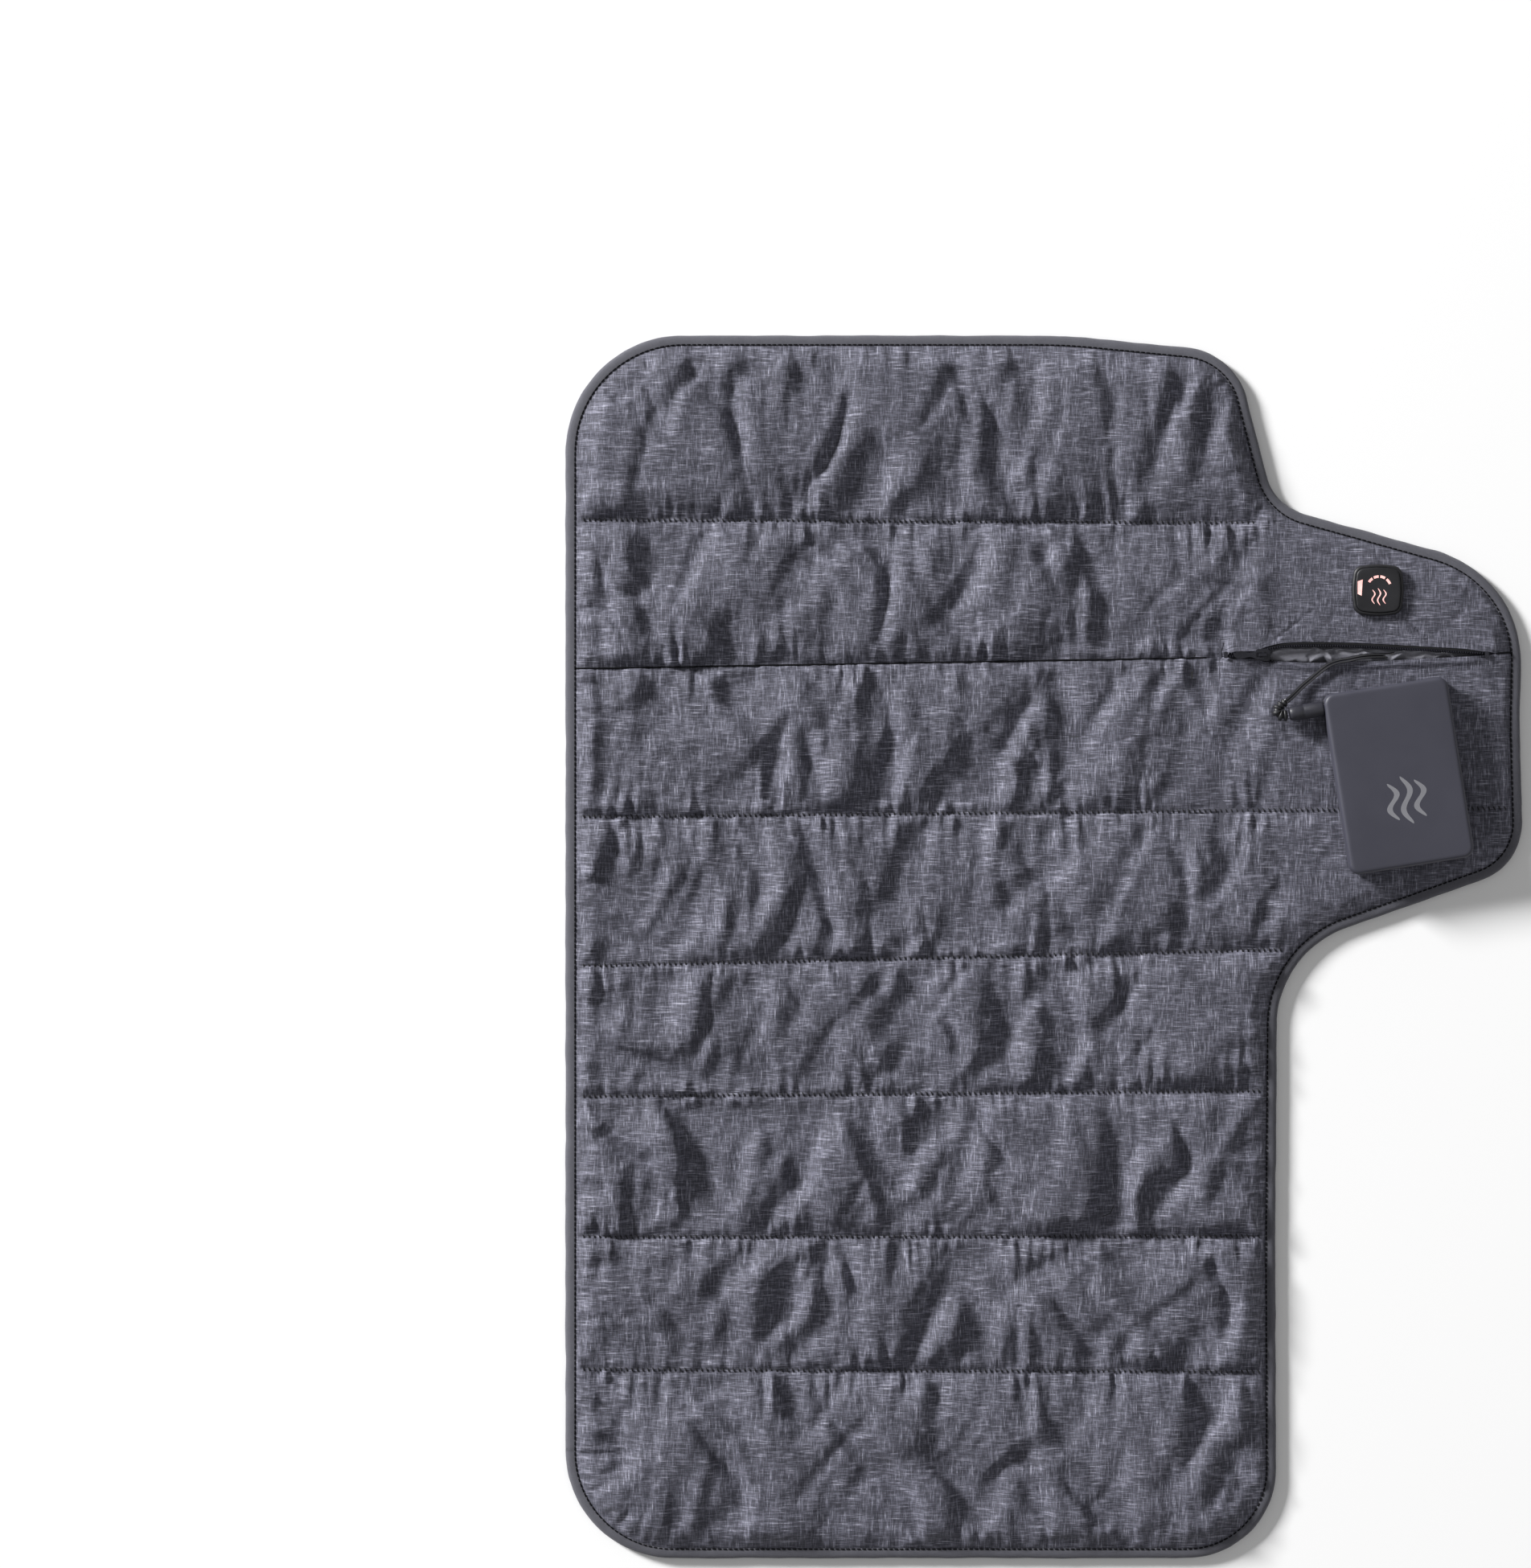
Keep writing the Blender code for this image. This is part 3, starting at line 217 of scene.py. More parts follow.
def even_points(line, step):
    """A line's points, respaced evenly."""
    run = np.concatenate([[0], np.cumsum(np.linalg.norm(np.diff(line, axis=0), axis=1))])
    count = max(2, int(round(run[-1] / step)) + 1)
    at = np.linspace(0, run[-1], count)
    return np.stack([np.interp(at, run, line[:, k]) for k in range(line.shape[1])], 1)


def skin(bm, rings):
    """Faces between rings of as many vertices each, and a cap at either end."""
    count = len(rings[0])
    made = [bm.faces.new(rings[0][::-1]), bm.faces.new(rings[-1])]
    for one, two in zip(rings, rings[1:]):
        for k in range(count):
            n = (k + 1) % count
            made.append(bm.faces.new((one[k], one[n], two[n], two[k])))
    return made


def sweep(bm, line, radii, sides=8, aside=0.0):
    """A capped tube along a line in millimetres, set aside from it."""
    line = np.asarray(line, float)
    radii = np.broadcast_to(radii, len(line))
    up = np.array((0.0, 0.0, 1.0))
    rings = []
    for i, here in enumerate(line):
        ahead = line[min(i + 1, len(line) - 1)] - line[max(i - 1, 0)]
        ahead /= np.linalg.norm(ahead)
        side = np.cross(up, ahead)
        side /= np.linalg.norm(side)
        up = np.cross(ahead, side)
        centre = here + side * aside
        ring = []
        for k in range(sides):
            a = 2 * math.pi * k / sides
            spot = centre + radii[i] * (math.cos(a) * side + math.sin(a) * up)
            ring.append(bm.verts.new(spot * MM))
        rings.append(ring)
    skin(bm, rings)


# The pad's outline and seams, as in the frame's solids

OUTLINE_MM = [
    (-268.3, -342.9, 60.0), (130.4, -342.9, 50.0), (129.8, -170.0, 400.0), (131.0, -3.1, 58.0),
    (269.0, 45.8, 34.0), (266.8, 124.0, 150.0), (268.8, 208.6, 65.0), (129.3, 247.4, 30.0),
    (107.0, 333.6, 38.0), (12.0, 342.9, 300.0), (-268.3, 342.9, 66.0),
]
ARC_STEP = math.radians(3)
LEFT_MM = -268.3
RIGHT_MM = 269.0
POINTS_AT_ONCE = 20000

# Quilting seams as (height at x = 0, slope, last x); the second one joins two fabric panels.
SEAMS_MM = [
    (238.3, -0.0047, 118), (160.5, 0.0172, 300), (75.4, 0.0093, 300), (-4.5, 0.0234, 135),
    (-81.6, 0.0079, 135), (-162.15, 0.0011, 135), (-237.6, -0.0034, 135),
]
PANEL_SEAM = 1
ZIP_Y_MM = 163.5
ZIP_FIRST_MM = 120.0
ZIP_LAST_MM = 246.0
BOW_FRONT_MM = 4.4
BOW_BACK_MM = 4.0


def outline(inset):
    """The outline, anticlockwise, moved inwards by inset millimetres."""
    made = []
    count = len(OUTLINE_MM)
    for i, (x, y, radius) in enumerate(OUTLINE_MM):
        here = Vector((x, y))
        to_before = (Vector(OUTLINE_MM[i - 1][:2]) - here).normalized()
        to_after = (Vector(OUTLINE_MM[(i + 1) % count][:2]) - here).normalized()
        opening = to_before.angle(to_after)
        convex = to_before.x * to_after.y - to_before.y * to_after.x < 0
        centre = here + (to_before + to_after).normalized() * (radius / math.sin(opening / 2))
        first = here + to_before * (radius / math.tan(opening / 2)) - centre
        shrunk = radius - inset if convex else radius + inset
        steps = max(1, math.ceil((math.pi - opening) / ARC_STEP))
        sign = 1.0 if convex else -1.0
        start = math.atan2(first.y, first.x)
        for k in range(steps + 1):
            a = start + sign * (math.pi - opening) * k / steps
            made.append((centre.x + shrunk * math.cos(a), centre.y + shrunk * math.sin(a)))
    return np.array(made)


def from_edge(x, y):
    """Points' distance inside the outline, step to its nearest point, and run along it."""
    a = outline(0.0)
    b = np.roll(a, -1, 0)
    d = b - a
    length = np.linalg.norm(d, axis=1)
    run = np.concatenate([[0], np.cumsum(length)[:-1]])
    points = np.stack([x.ravel(), y.ravel()], 1)
    inset = np.empty(len(points))
    step = np.empty((len(points), 2))
    along = np.empty(len(points))
    for s in range(0, len(points), POINTS_AT_ONCE):
        p = points[s : s + POINTS_AT_ONCE]
        t = np.clip(((p[:, None] - a) * d).sum(2) / np.maximum(length**2, 1e-9), 0, 1)
        to = a + t[..., None] * d - p[:, None]
        far = np.linalg.norm(to, axis=2)
        best = far.argmin(1)
        rows = np.arange(len(p))
        rise = np.where(b[:, 1] == a[:, 1], 1e-9, b[:, 1] - a[:, 1])
        crosses = (a[:, 1] > p[:, None, 1]) != (b[:, 1] > p[:, None, 1])
        crosses &= p[:, None, 0] < (b[:, 0] - a[:, 0]) * (p[:, None, 1] - a[:, 1]) / rise + a[:, 0]
        sign = np.where(crosses.sum(1) % 2 == 1, 1, -1)
        inset[s : s + POINTS_AT_ONCE] = sign * far[rows, best]
        step[s : s + POINTS_AT_ONCE] = to[rows, best]
        along[s : s + POINTS_AT_ONCE] = run[best] + t[rows, best] * length[best]
    return inset.reshape(x.shape), step.reshape(*x.shape, 2), along.reshape(x.shape)


def seam_height(k, x):
    """A seam's y at x, in millimetres."""
    return SEAMS_MM[k][0] + SEAMS_MM[k][1] * x


def zip_gap(x, bow):
    """How far one lip of the zip stands off its line."""
    share = np.clip((x - ZIP_FIRST_MM) / (ZIP_LAST_MM - ZIP_FIRST_MM), 0, 1)
    return bow * np.sin(math.pi * np.sqrt(share))


# Cords come first: the lead, from the grommet in the pocket to the plug

LEAD_ROUTE_MM = [
    (203.0, 170.4, 5.75), (203.0, 168.2, 5.75), (199.8, 165.0, 5.9), (193.4, 163.4, 6.9),
    (187.2, 163.2, 8.8), (181.0, 162.9, 10.9), (175.0, 162.1, 12.5), (169.3, 160.9, 13.1),
    (163.8, 159.9, 13.0), (158.6, 157.8, 12.5), (153.5, 154.0, 12.1), (148.8, 150.0, 12.0),
    (144.4, 146.4, 12.3), (140.4, 142.4, 13.0), (137.0, 139.2, 14.0), (134.2, 137.1, 14.9),
]
BOOT_ROUTE_MM = [
    (133.95, 136.9, 15.0, 2.0), (132.0, 135.6, 15.5, 2.1), (130.2, 133.9, 15.9, 2.3),
    (129.6, 131.9, 16.2, 2.5), (130.8, 130.2, 16.3, 2.7), (133.2, 129.9, 16.3, 2.9),
    (135.2, 130.25, 16.3, 3.1),
]
LEAD_WIDTH_MM = 3.0
BATTERY_CENTRE_MM = (197.1, 96.0)
BATTERY_TURN = math.radians(9)
BATTERY_SIZE_MM = (70.0, 102.0, 12.0)
BATTERY_CORNER_MM = 6.0
BATTERY_BOTTOM_MM = 10.3
PLUG_OFFSET_MM = 43.5

# The plug's (distance from the battery's side, radius), from its boot end.
PLUG_PROFILE_MM = [
    (-19.5, 2.6), (-19.48, 3.3), (-18.9, 3.8), (-17.3, 4.1), (-12.4, 4.3), (-12.0, 4.1),
    (-11.2, 4.1), (-10.8, 4.3), (-2.0, 4.3), (-0.9, 4.2), (-0.4, 4.0), (-0.35, 3.0),
]


def turned(x, y, turn, centre):
    """A point turned about the origin and then moved to a centre."""
    c, s = math.cos(turn), math.sin(turn)
    return (centre[0] + x * c - y * s, centre[1] + x * s + y * c)


def on_battery(x, y, z):
    """A point of the battery's own frame, in the pad's frame, in millimetres."""
    return (*turned(x, y, BATTERY_TURN, BATTERY_CENTRE_MM), z)


def make_lead():
    """The lead: two black wires side by side, then a ribbed boot and the plug."""
    route = smooth_route(LEAD_ROUTE_MM, 1.2)
    bm = bmesh.new()
    for side in (-1, 1):
        sweep(bm, route, LEAD_WIDTH_MM / 4, 10, aside=side * LEAD_WIDTH_MM / 4)
    lead = add_mesh("lead_twin", bm)
    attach(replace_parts(lead, "power_lead"), "pad_upper")

    route = smooth_route(BOOT_ROUTE_MM, 0.3)
    steps = np.arange(len(route))
    ribs = np.where((steps // 4) % 2 == 0, 1.28, 0.78)
    ends = np.where((steps < 2) | (steps > len(route) - 3), 0.92, 1.0)
    bm = bmesh.new()
    sweep(bm, route[:, :3], route[:, 3] * ribs * ends, 16)
    boot = add_mesh("plug_boot_ribbed", bm)
    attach(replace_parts(boot, "plug_boot"), "pad_upper")

    middle = BATTERY_BOTTOM_MM + BATTERY_SIZE_MM[2] / 2
    edge = -BATTERY_SIZE_MM[0] / 2
    line = [on_battery(edge + x, PLUG_OFFSET_MM, middle) for x, _ in PLUG_PROFILE_MM]
    bm = bmesh.new()
    sweep(bm, line, [r for _, r in PLUG_PROFILE_MM], 28)
    plug = add_mesh("plug_grip", bm)
    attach(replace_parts(plug, "plug_body"), "pad_upper")

    return lead, boot, plug


make_camera()
lead, boot, plug = make_lead()
floor = make_stage()


# The quilted front

CELL_MM = 3.2
GRID_TOP_MM = 346.0
EDGE_HEIGHT_MM = 3.9
SEAM_HEIGHT_MM = 6.0
TAB_SEAM_MM = 7.9
CROWN_MM = 10.4
TAB_CROWN_MM = 9.5
LIP_HEIGHT_MM = 9.3
ROLLED_LIP_MM = 10.95
UNDER_BINDING_MM = 5.9
EDGE_TRIM_MM = 2.0
CALM_HEIGHT_MM = 9.45
SIM_FRAMES = 24
FINER = 3
FIRST_STITCH_MM = -261.0
STITCH_PITCH_MM = 3.0

# The fabric's middle level and the room above and below it, on the (body, tab).
LEVEL_MM = (9.8, 9.3)
ROOM_ABOVE_MM = (6.5, 0.7)
ROOM_BELOW_MM = (5.4, 2.2)


def between(pair, share):
    """A value that runs from the pair's first to its second."""
    return pair[0] + (pair[1] - pair[0]) * share


def quilt_grid():
    """Columns of even x, and rows that run evenly between the seams, in millimetres."""
    x = np.arange(LEFT_MM - CELL_MM, RIGHT_MM + 2 * CELL_MM, CELL_MM)
    lines = [np.full_like(x, GRID_TOP_MM)]
    lines += [seam_height(k, x) for k in range(len(SEAMS_MM))]
    lines.append(np.full_like(x, -GRID_TOP_MM))
    rows, seam_rows = [], []
    for top, bottom in zip(lines, lines[1:]):
        seam_rows.append(len(rows))
        count = max(2, round(float((top - bottom).mean()) / CELL_MM))
        rows += [top + (bottom - top) * j / count for j in range(count)]
    seam_rows.append(len(rows))
    rows.append(lines[-1])
    y = np.array(rows)
    return np.broadcast_to(x, y.shape).copy(), y, seam_rows[1:-1]


def distance_to_seams(x, y):
    """Distance to the nearest quilting seam, and that seam's number."""
    best = np.full(x.shape, 1e9)
    which = np.zeros(x.shape, int)
    for k, (_, _, last) in enumerate(SEAMS_MM):
        away = np.hypot(y - seam_height(k, x), np.maximum(0, x - last))
        which = np.where(away < best, k, which)
        best = np.minimum(best, away)
    return best, which


def lip_share(x):
    """1 where the panels part for the zip, 0 where they are sewn together."""
    return plateau(x, 100, 107, 247, 254)


def rest_heights(x, y, inset, seam_distance):
    """The front's height before it is simulated: low at the edge and seams, high between."""
    tab = smooth_step(118, 152, x)
    crown = between((CROWN_MM, TAB_CROWN_MM), tab)
    seam = between((SEAM_HEIGHT_MM, TAB_SEAM_MM), tab)
    near_zip = lip_share(x) * np.exp(-(((y - ZIP_Y_MM) / 12) ** 2))
    seam = seam + (LIP_HEIGHT_MM - seam) * near_zip
    from_edge_up = EDGE_HEIGHT_MM + (crown - EDGE_HEIGHT_MM) * np.sqrt(smooth_step(5.4, 18, inset))
    from_seam_up = seam + (crown - seam) * (1 - np.exp(-seam_distance / 7))
    return np.minimum(from_edge_up, from_seam_up)


def folds(x, y, seam_distance, inset):
    """The soft folds that the simulation starts from, and their share of spare cloth."""
    tab = smooth_step(112, 150, x)
    bend = 30 * streaks(x, y, 80, 95, 3.1)
    upright = streaks(x + bend, y, 27, 110, 11.7)
    leaning = streaks(x + 0.5 * y + bend, y, 24, 70, 5.3)
    falling = streaks(x - 0.6 * y - bend, y, 26, 75, 8.8)
    amount = np.clip(0.75 + 1.1 * streaks(x, y, 95, 70, 2.2, 1), 0.2, 1.5) * (1 - 0.8 * tab)
    free = smooth_step(0, 12, seam_distance) * smooth_step(7, 20, inset)
    height = 7.0 * upright + 6.0 * np.minimum(leaning, 0.1) + 6.0 * np.minimum(falling, 0.1)
    broad = 4.5 * streaks(x - bend, y + bend, 62, 55, 16.9, 1) * (1 - 0.8 * tab)
    return (height * amount + broad) * free, amount


def simulate(x, y, z, spare_x, spare_y, used, pinned):
    """Inflates the sheet from below with spare cloth in it, and returns its settled points."""
    points = np.stack([x[used], y[used], z[used]], 1)
    obj = mesh_from("cloth_trial", points, grid_faces(whole_cells(used), used))
    group = obj.vertex_groups.new(name="sewn")
    group.add([int(v) for v in np.nonzero(pinned[used])[0]], 1.0, "REPLACE")
    wide = np.cumsum((1 + (spare_x[:, 1:] + spare_x[:, :-1]) / 2) * np.diff(x, axis=1), 1)
    rest_x = x[:, :1] + np.concatenate([np.zeros((len(x), 1)), wide], 1)
    tall = np.cumsum((1 + (spare_y[1:] + spare_y[:-1]) / 2) * np.diff(y, axis=0), 0)
    rest_y = y[:1] + np.concatenate([np.zeros((1, x.shape[1])), tall], 0)
    obj.shape_key_add(name="Basis")
    flat = obj.shape_key_add(name="flat")
    rest = np.stack([rest_x[used], rest_y[used], np.full(used.sum(), CROWN_MM)], 1) * MM
    flat.data.foreach_set("co", rest.ravel())
    cloth = obj.modifiers.new("Cloth", "CLOTH")
    s = cloth.settings
    s.quality = 4
    s.mass = 0.15
    s.tension_stiffness = s.compression_stiffness = 25
    s.shear_stiffness = 8
    s.bending_stiffness = 1.6
    s.tension_damping = s.compression_damping = s.shear_damping = 8
    s.bending_damping = 2
    s.air_damping = 3
    s.rest_shape_key = flat
    s.vertex_group_mass = "sewn"
    s.use_pressure = True
    s.uniform_pressure_force = 1.3
    s.effector_weights.gravity = 0
    cloth.collision_settings.use_collision = False
    cloth.collision_settings.use_self_collision = False
    cloth.point_cache.frame_start = 1
    cloth.point_cache.frame_end = SIM_FRAMES + 1
    for f in range(1, SIM_FRAMES + 1):
        bpy.context.scene.frame_set(f)
    settled = obj.evaluated_get(bpy.context.evaluated_depsgraph_get())
    co = np.empty(len(points) * 3, np.float32)
    settled.data.vertices.foreach_get("co", co)
    bpy.data.objects.remove(obj)
    bpy.context.scene.frame_set(1)
    result = np.stack([x, y, z], 2).astype(float)
    result[used] = co.reshape(-1, 3) / MM
    return result


def finer(a, axis):
    """An array with smooth values put between each two, along an axis."""
    a = np.moveaxis(a, axis, 0)
    before = np.concatenate([2 * a[:1] - a[1:2], a[:-2]])
    after = np.concatenate([a[2:], 2 * a[-1:] - a[-2:-1]])
    made = np.empty((FINER * (len(a) - 1) + 1, *a.shape[1:]))
    made[::FINER] = a
    for k in range(1, FINER):
        t = k / FINER
        weights = (-t + 2 * t * t - t**3, 2 - 5 * t * t + 3 * t**3, t + 4 * t * t - 3 * t**3,
                   t**3 - t * t)
        made[k::FINER] = sum(w / 2 * v for w, v in zip(weights, (before, a[:-1], a[1:], after)))
    return np.moveaxis(made, 0, axis)


def fine(a):
    """A grid refined along both its sides."""
    return finer(finer(a, 0), 1)


def waves(along, away, pitch, run, seed, reach, octaves=2):
    """Creases side by side along a seam, that fade with the distance from it."""
    return streaks(along, away, pitch, run, seed, octaves) * np.exp(-away / reach)


def puckers(x, y, inset, along, away, seam):
    """Creases that run out from the seams' stitches and from the binding's."""
    tab = smooth_step(118, 150, x)
    base, slope = np.array(SEAMS_MM)[seam, :2].transpose(2, 0, 1)
    offset = seam * 37.0 + np.sign(y - (base + slope * x)) * 13.0
    reach = np.clip(1 + 1.6 * streaks(x, offset, 24, 1.0, 1.3, 1), 0.35, 2.0)
    made = 1.5 * waves(x + offset * 9, away, 2.6, 12, 6.1, 3.5, 1)
    made += 2.1 * waves(x - offset * 7, away, 4.6, 24, 7.7, 8 * reach) * reach
    made += 2.3 * waves(x + offset * 5, away, 9.5, 60, 8.3, 15 * reach) * reach
    each = np.cos(2 * math.pi * (x - FIRST_STITCH_MM) / STITCH_PITCH_MM) * np.exp(-away / 1.5)
    made = made * (1 - np.exp(-away / 0.9)) - 0.22 * each
    edge = np.maximum(inset - UNDER_BINDING_MM, 0)
    drawn = 1.5 * waves(along, edge, 2.8, 14, 9.7, 4, 1)
    drawn += 2.3 * waves(along, edge, 5.5, 34, 10.4, 12)
    drawn += 3.0 * waves(along, edge, 13, 80, 27.4, 26)
    return (made + drawn * (1 - np.exp(-edge))) * (1 - 0.6 * tab)


CREASES_MM = [
    [(169.7, 189.3), (159.3, 191.6), (147.8, 187.0), (136.4, 176.7), (127.8, 166.3)],
    [(200.7, 184.7), (208.7, 176.7), (216.1, 166.9)],
    [(201.0, 214.5), (203.5, 222.0)],
]
BODY_CREASES_MM = [
    [(-260, -103), (-246, -109), (-225, -119), (-208, -135)],
    [(-262, -40), (-251, -52), (-234, -61), (-198, -70)],
    [(-261, 17), (-246, 11), (-228, 5), (-217, -5)],
    [(-247, 31), (-243, 47), (-238, 66)],
    [(-194, -62), (-190, -46), (-188, -24)],
    [(-196, -143), (-198, -121), (-199, -92)],
    [(-99, -88), (-93, -115), (-82, -134)],
    [(-41, -86), (-30, -106), (-20, -120)],
    [(-41, 30), (-37, 11), (-30, -3)],
    [(-114, -164), (-106, -187), (-99, -200)],
    [(-133, 62), (-126, 38), (-117, 2)],
    [(-107, 316), (-116, 283), (-134, 252)],
    [(-38, 319), (-22, 287), (14, 259)],
    [(-175, 324), (-173, 296), (-168, 273)],
    [(-85, 217), (-89, 188), (-94, 170)],
    [(-249, 216), (-242, 188), (-229, 170)],
    [(-89, 144), (-85, 116), (-94, 83)],
    [(-144, 125), (-152, 98), (-146, 76)],
    [(-4, 144), (-22, 112), (-31, 84)],
    [(-128, -251), (-105, -280), (-76, -308)],
    [(-198, -264), (-184, -284), (-166, -303)],
    [(5, -197), (21, -217), (37, -240)],
    [(72, -94), (79, -122), (64, -146)],
    [(90, -170), (104, -199), (99, -227)],
]


def fold_lines(x, y, lines, deep, wide, beside):
    """Creases: a narrow valley along each line, with a soft ridge of some share beside it."""
    made = np.zeros(x.shape)
    for line in lines:
        route = smooth_route(line, 2.0)
        (x0, y0), (x1, y1) = route.min(0) - 20, route.max(0) + 20
        box = (x > x0) & (x < x1) & (y > y0) & (y < y1)
        px, py = x[box], y[box]
        nearest = np.full(px.shape, 1e9)
        side = np.zeros(px.shape)
        share = np.zeros(px.shape)
        for k, ((a, b), (c, d)) in enumerate(zip(route, route[1:])):
            away = np.hypot(px - a, py - b)
            closer = away < nearest
            nearest[closer] = away[closer]
            side[closer] = ((c - a) * (py - b) - (d - b) * (px - a))[closer]
            share[closer] = math.sin(math.pi * (k + 1) / (len(route) + 1)) ** 0.6
        ridge = beside * np.exp(-(((nearest - 2.4 * wide) / (1.9 * wide)) ** 2)) * (side > 0)
        made[box] += deep * share * (ridge - np.exp(-((nearest / wide) ** 2)))
    return made


def ring_round_controller(x, y):
    """Faint creases around the controller."""
    low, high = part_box("controller_frame")
    cx, cy = [v / MM for v in (low + high).xy / 2]
    away = np.maximum(np.hypot(x - cx, y - cy) - 15, 0)
    turn = np.arctan2(y - cy, x - cx)
    lines = streaks(turn * 6, away, 0.55, 30, 15.5)
    return 0.7 * lines * np.exp(-away / 12) * smooth_step(0, 3, away)


def quilt_points():
    """The settled front on its fine grid: points, flat points and the seams' rows."""
    x, y, seam_rows = quilt_grid()
    inset, _, _ = from_edge(x, y)
    away, _ = distance_to_seams(x, y)
    z = rest_heights(x, y, inset, away)
    tab = smooth_step(112, 150, x)
    seed, amount = folds(x, y, away, inset)
    spare_x = np.clip(0.085 * amount + 0.03 * streaks(x, y, 80, 60, 4.4, 1), 0.01, 0.16)
    spare_y = np.clip(0.016 + 0.01 * streaks(x, y, 60, 80, 9.4, 1), 0.003, 0.03)
    pinned = inset < UNDER_BINDING_MM
    for k, row in enumerate(seam_rows):
        pinned[row] |= x[row] <= SEAMS_MM[k][2]
    p = simulate(x, y, z + seed, spare_x * (1 - 0.8 * tab), spare_y * (1 - 0.6 * tab),
                 inset > EDGE_TRIM_MM - 0.6, pinned)
    p = fine(p)
    flat = fine(np.stack([x, y], 2))
    return p, flat, [FINER * row for row in seam_rows]


def shape_quilt(p, flat):
    """Adds the fine creases, calms the cloth beside the zip, and trims the edge."""
    x, y = flat[..., 0], flat[..., 1]
    inset, to_edge, along = from_edge(x, y)
    away, seam = distance_to_seams(x, y)
    lips = lip_share(x) * np.exp(-(((y - ZIP_Y_MM) / 14) ** 2))
    calm = lip_share(x) * np.exp(-(((y - ZIP_Y_MM) / 17) ** 4))
    z = p[..., 2]
    z += (CALM_HEIGHT_MM - z) * calm * 0.85
    z += puckers(x, y, inset, along, away, seam) * (1 - lips)
    z += ring_round_controller(x, y) + fold_lines(
        x, y, CREASES_MM, deep=1.3, wide=1.0, beside=0.0)
    z += smooth_step(0, 6, away) * fold_lines(
        x, y, BODY_CREASES_MM, deep=3.4, wide=4.2, beside=0.75)
    z -= 0.5 * np.exp(-away / 1.2) * (1 - lips) * (1 - 0.4 * smooth_step(118, 150, x))
    z[inset < UNDER_BINDING_MM] = EDGE_HEIGHT_MM
    tab = smooth_step(110, 132, x)
    level = between(LEVEL_MM, tab)
    room = np.where(z > level, between(ROOM_ABOVE_MM, tab), between(ROOM_BELOW_MM, tab))
    z = level + room * np.tanh(1.2 * (z - level) / room)
    rest = rest_heights(x, y, inset, away)
    slack = 0.35 + 0.24 * np.clip(inset - UNDER_BINDING_MM, 0, None)
    p[..., 2] = rest + slack * np.tanh((z - rest) / slack)
    pull_to_rim(p, inset, to_edge, EDGE_TRIM_MM, CELL_MM / FINER)
    return p, inset


def pull_to_rim(p, inset, to_edge, trim, reach):
    """Moves the outermost points of a grid sideways, on to the line of its trimmed edge."""
    rim = (inset > trim) & (inset < trim + reach)
    share = np.where(rim, (inset - trim) / np.maximum(inset, 1e-6), 0)
    p[..., :2] += to_edge * share[..., None]


def panel_target(x, side):
    """Where a panel's edge lies beside the panel seam and the zip."""
    seam = seam_height(PANEL_SEAM, x)
    share = plateau(x, 95, 108, 246, 258)
    middle = seam + (ZIP_Y_MM - seam) * share
    bow = zip_gap(x, BOW_FRONT_MM if side > 0 else BOW_BACK_MM)
    over_coil = 1.7 * smooth_step(122, 130, x) if side < 0 else 0.0
    shown = 0.9 * plateau(x, 120, 135, 234, 246) if side > 0 else 0.0
    return middle + side * lip_share(x) * (2.05 + bow - over_coil + shown)


def make_panel(name, p, flat, inset, side):
    """One panel of the front, from its rows of the fine grid."""
    p = p.copy()
    x = flat[..., 0]
    if side:
        seam = seam_height(PANEL_SEAM, x)
        lip = panel_target(x, side)
        p[..., 1] += (lip - seam) * np.clip(1 - np.abs(flat[..., 1] - seam) / 24, 0, 1) ** 2
    if side < 0:
        rolled = plateau(x, 124, 132, 240, 250) * (1 - smooth_step(2.3, 5.5, lip - p[..., 1]))
        p[..., 2] += (np.maximum(ROLLED_LIP_MM, p[..., 2]) - p[..., 2]) * rolled
    return grid_piece(name, p, flat, inset > EDGE_TRIM_MM)


def make_front():
    """The front's panels between its main seams, which stand for the fabric and the filling."""
    p, flat, rows = quilt_points()
    p, inset = shape_quilt(p, flat)
    made = []
    cuts = [0, rows[1], rows[3], rows[5], len(p) - 1]
    for k, side in enumerate((1, -1, 0, 0)):
        part = slice(cuts[k], cuts[k + 1] + 1)
        made.append(make_panel(f"front_panel_{k + 1}", p[part], flat[part], inset[part], side))
    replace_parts(made[0], "shell_top_panel", "batting_shoulder", "batting_tab_corner")
    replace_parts(made[1], "shell_middle_panel", "batting_upper", "batting_tab_root")
    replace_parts(made[2], "shell_bottom_panel", "batting_lower")
    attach(made[0], "pad_upper")
    bend_over_fold(made[1])
    bend_over_fold(made[2])
    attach(made[3], "pad_lower")
    return made, p, flat


def bend_over_fold(piece):
    """Bakes a piece's place into its mesh."""
    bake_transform(piece)


# The lining

HEATER_PANELS_MM = [(-168, 52.6, 62, 253), (-168, -191.7, 62, 11.3)]
LINING_CELL_MM = 2.6
LINING_TOP_MM = 344
LINING_LOW_MM = 0.1
LINING_HIGH_MM = 3.4
LINING_TRIM_MM = 1.5


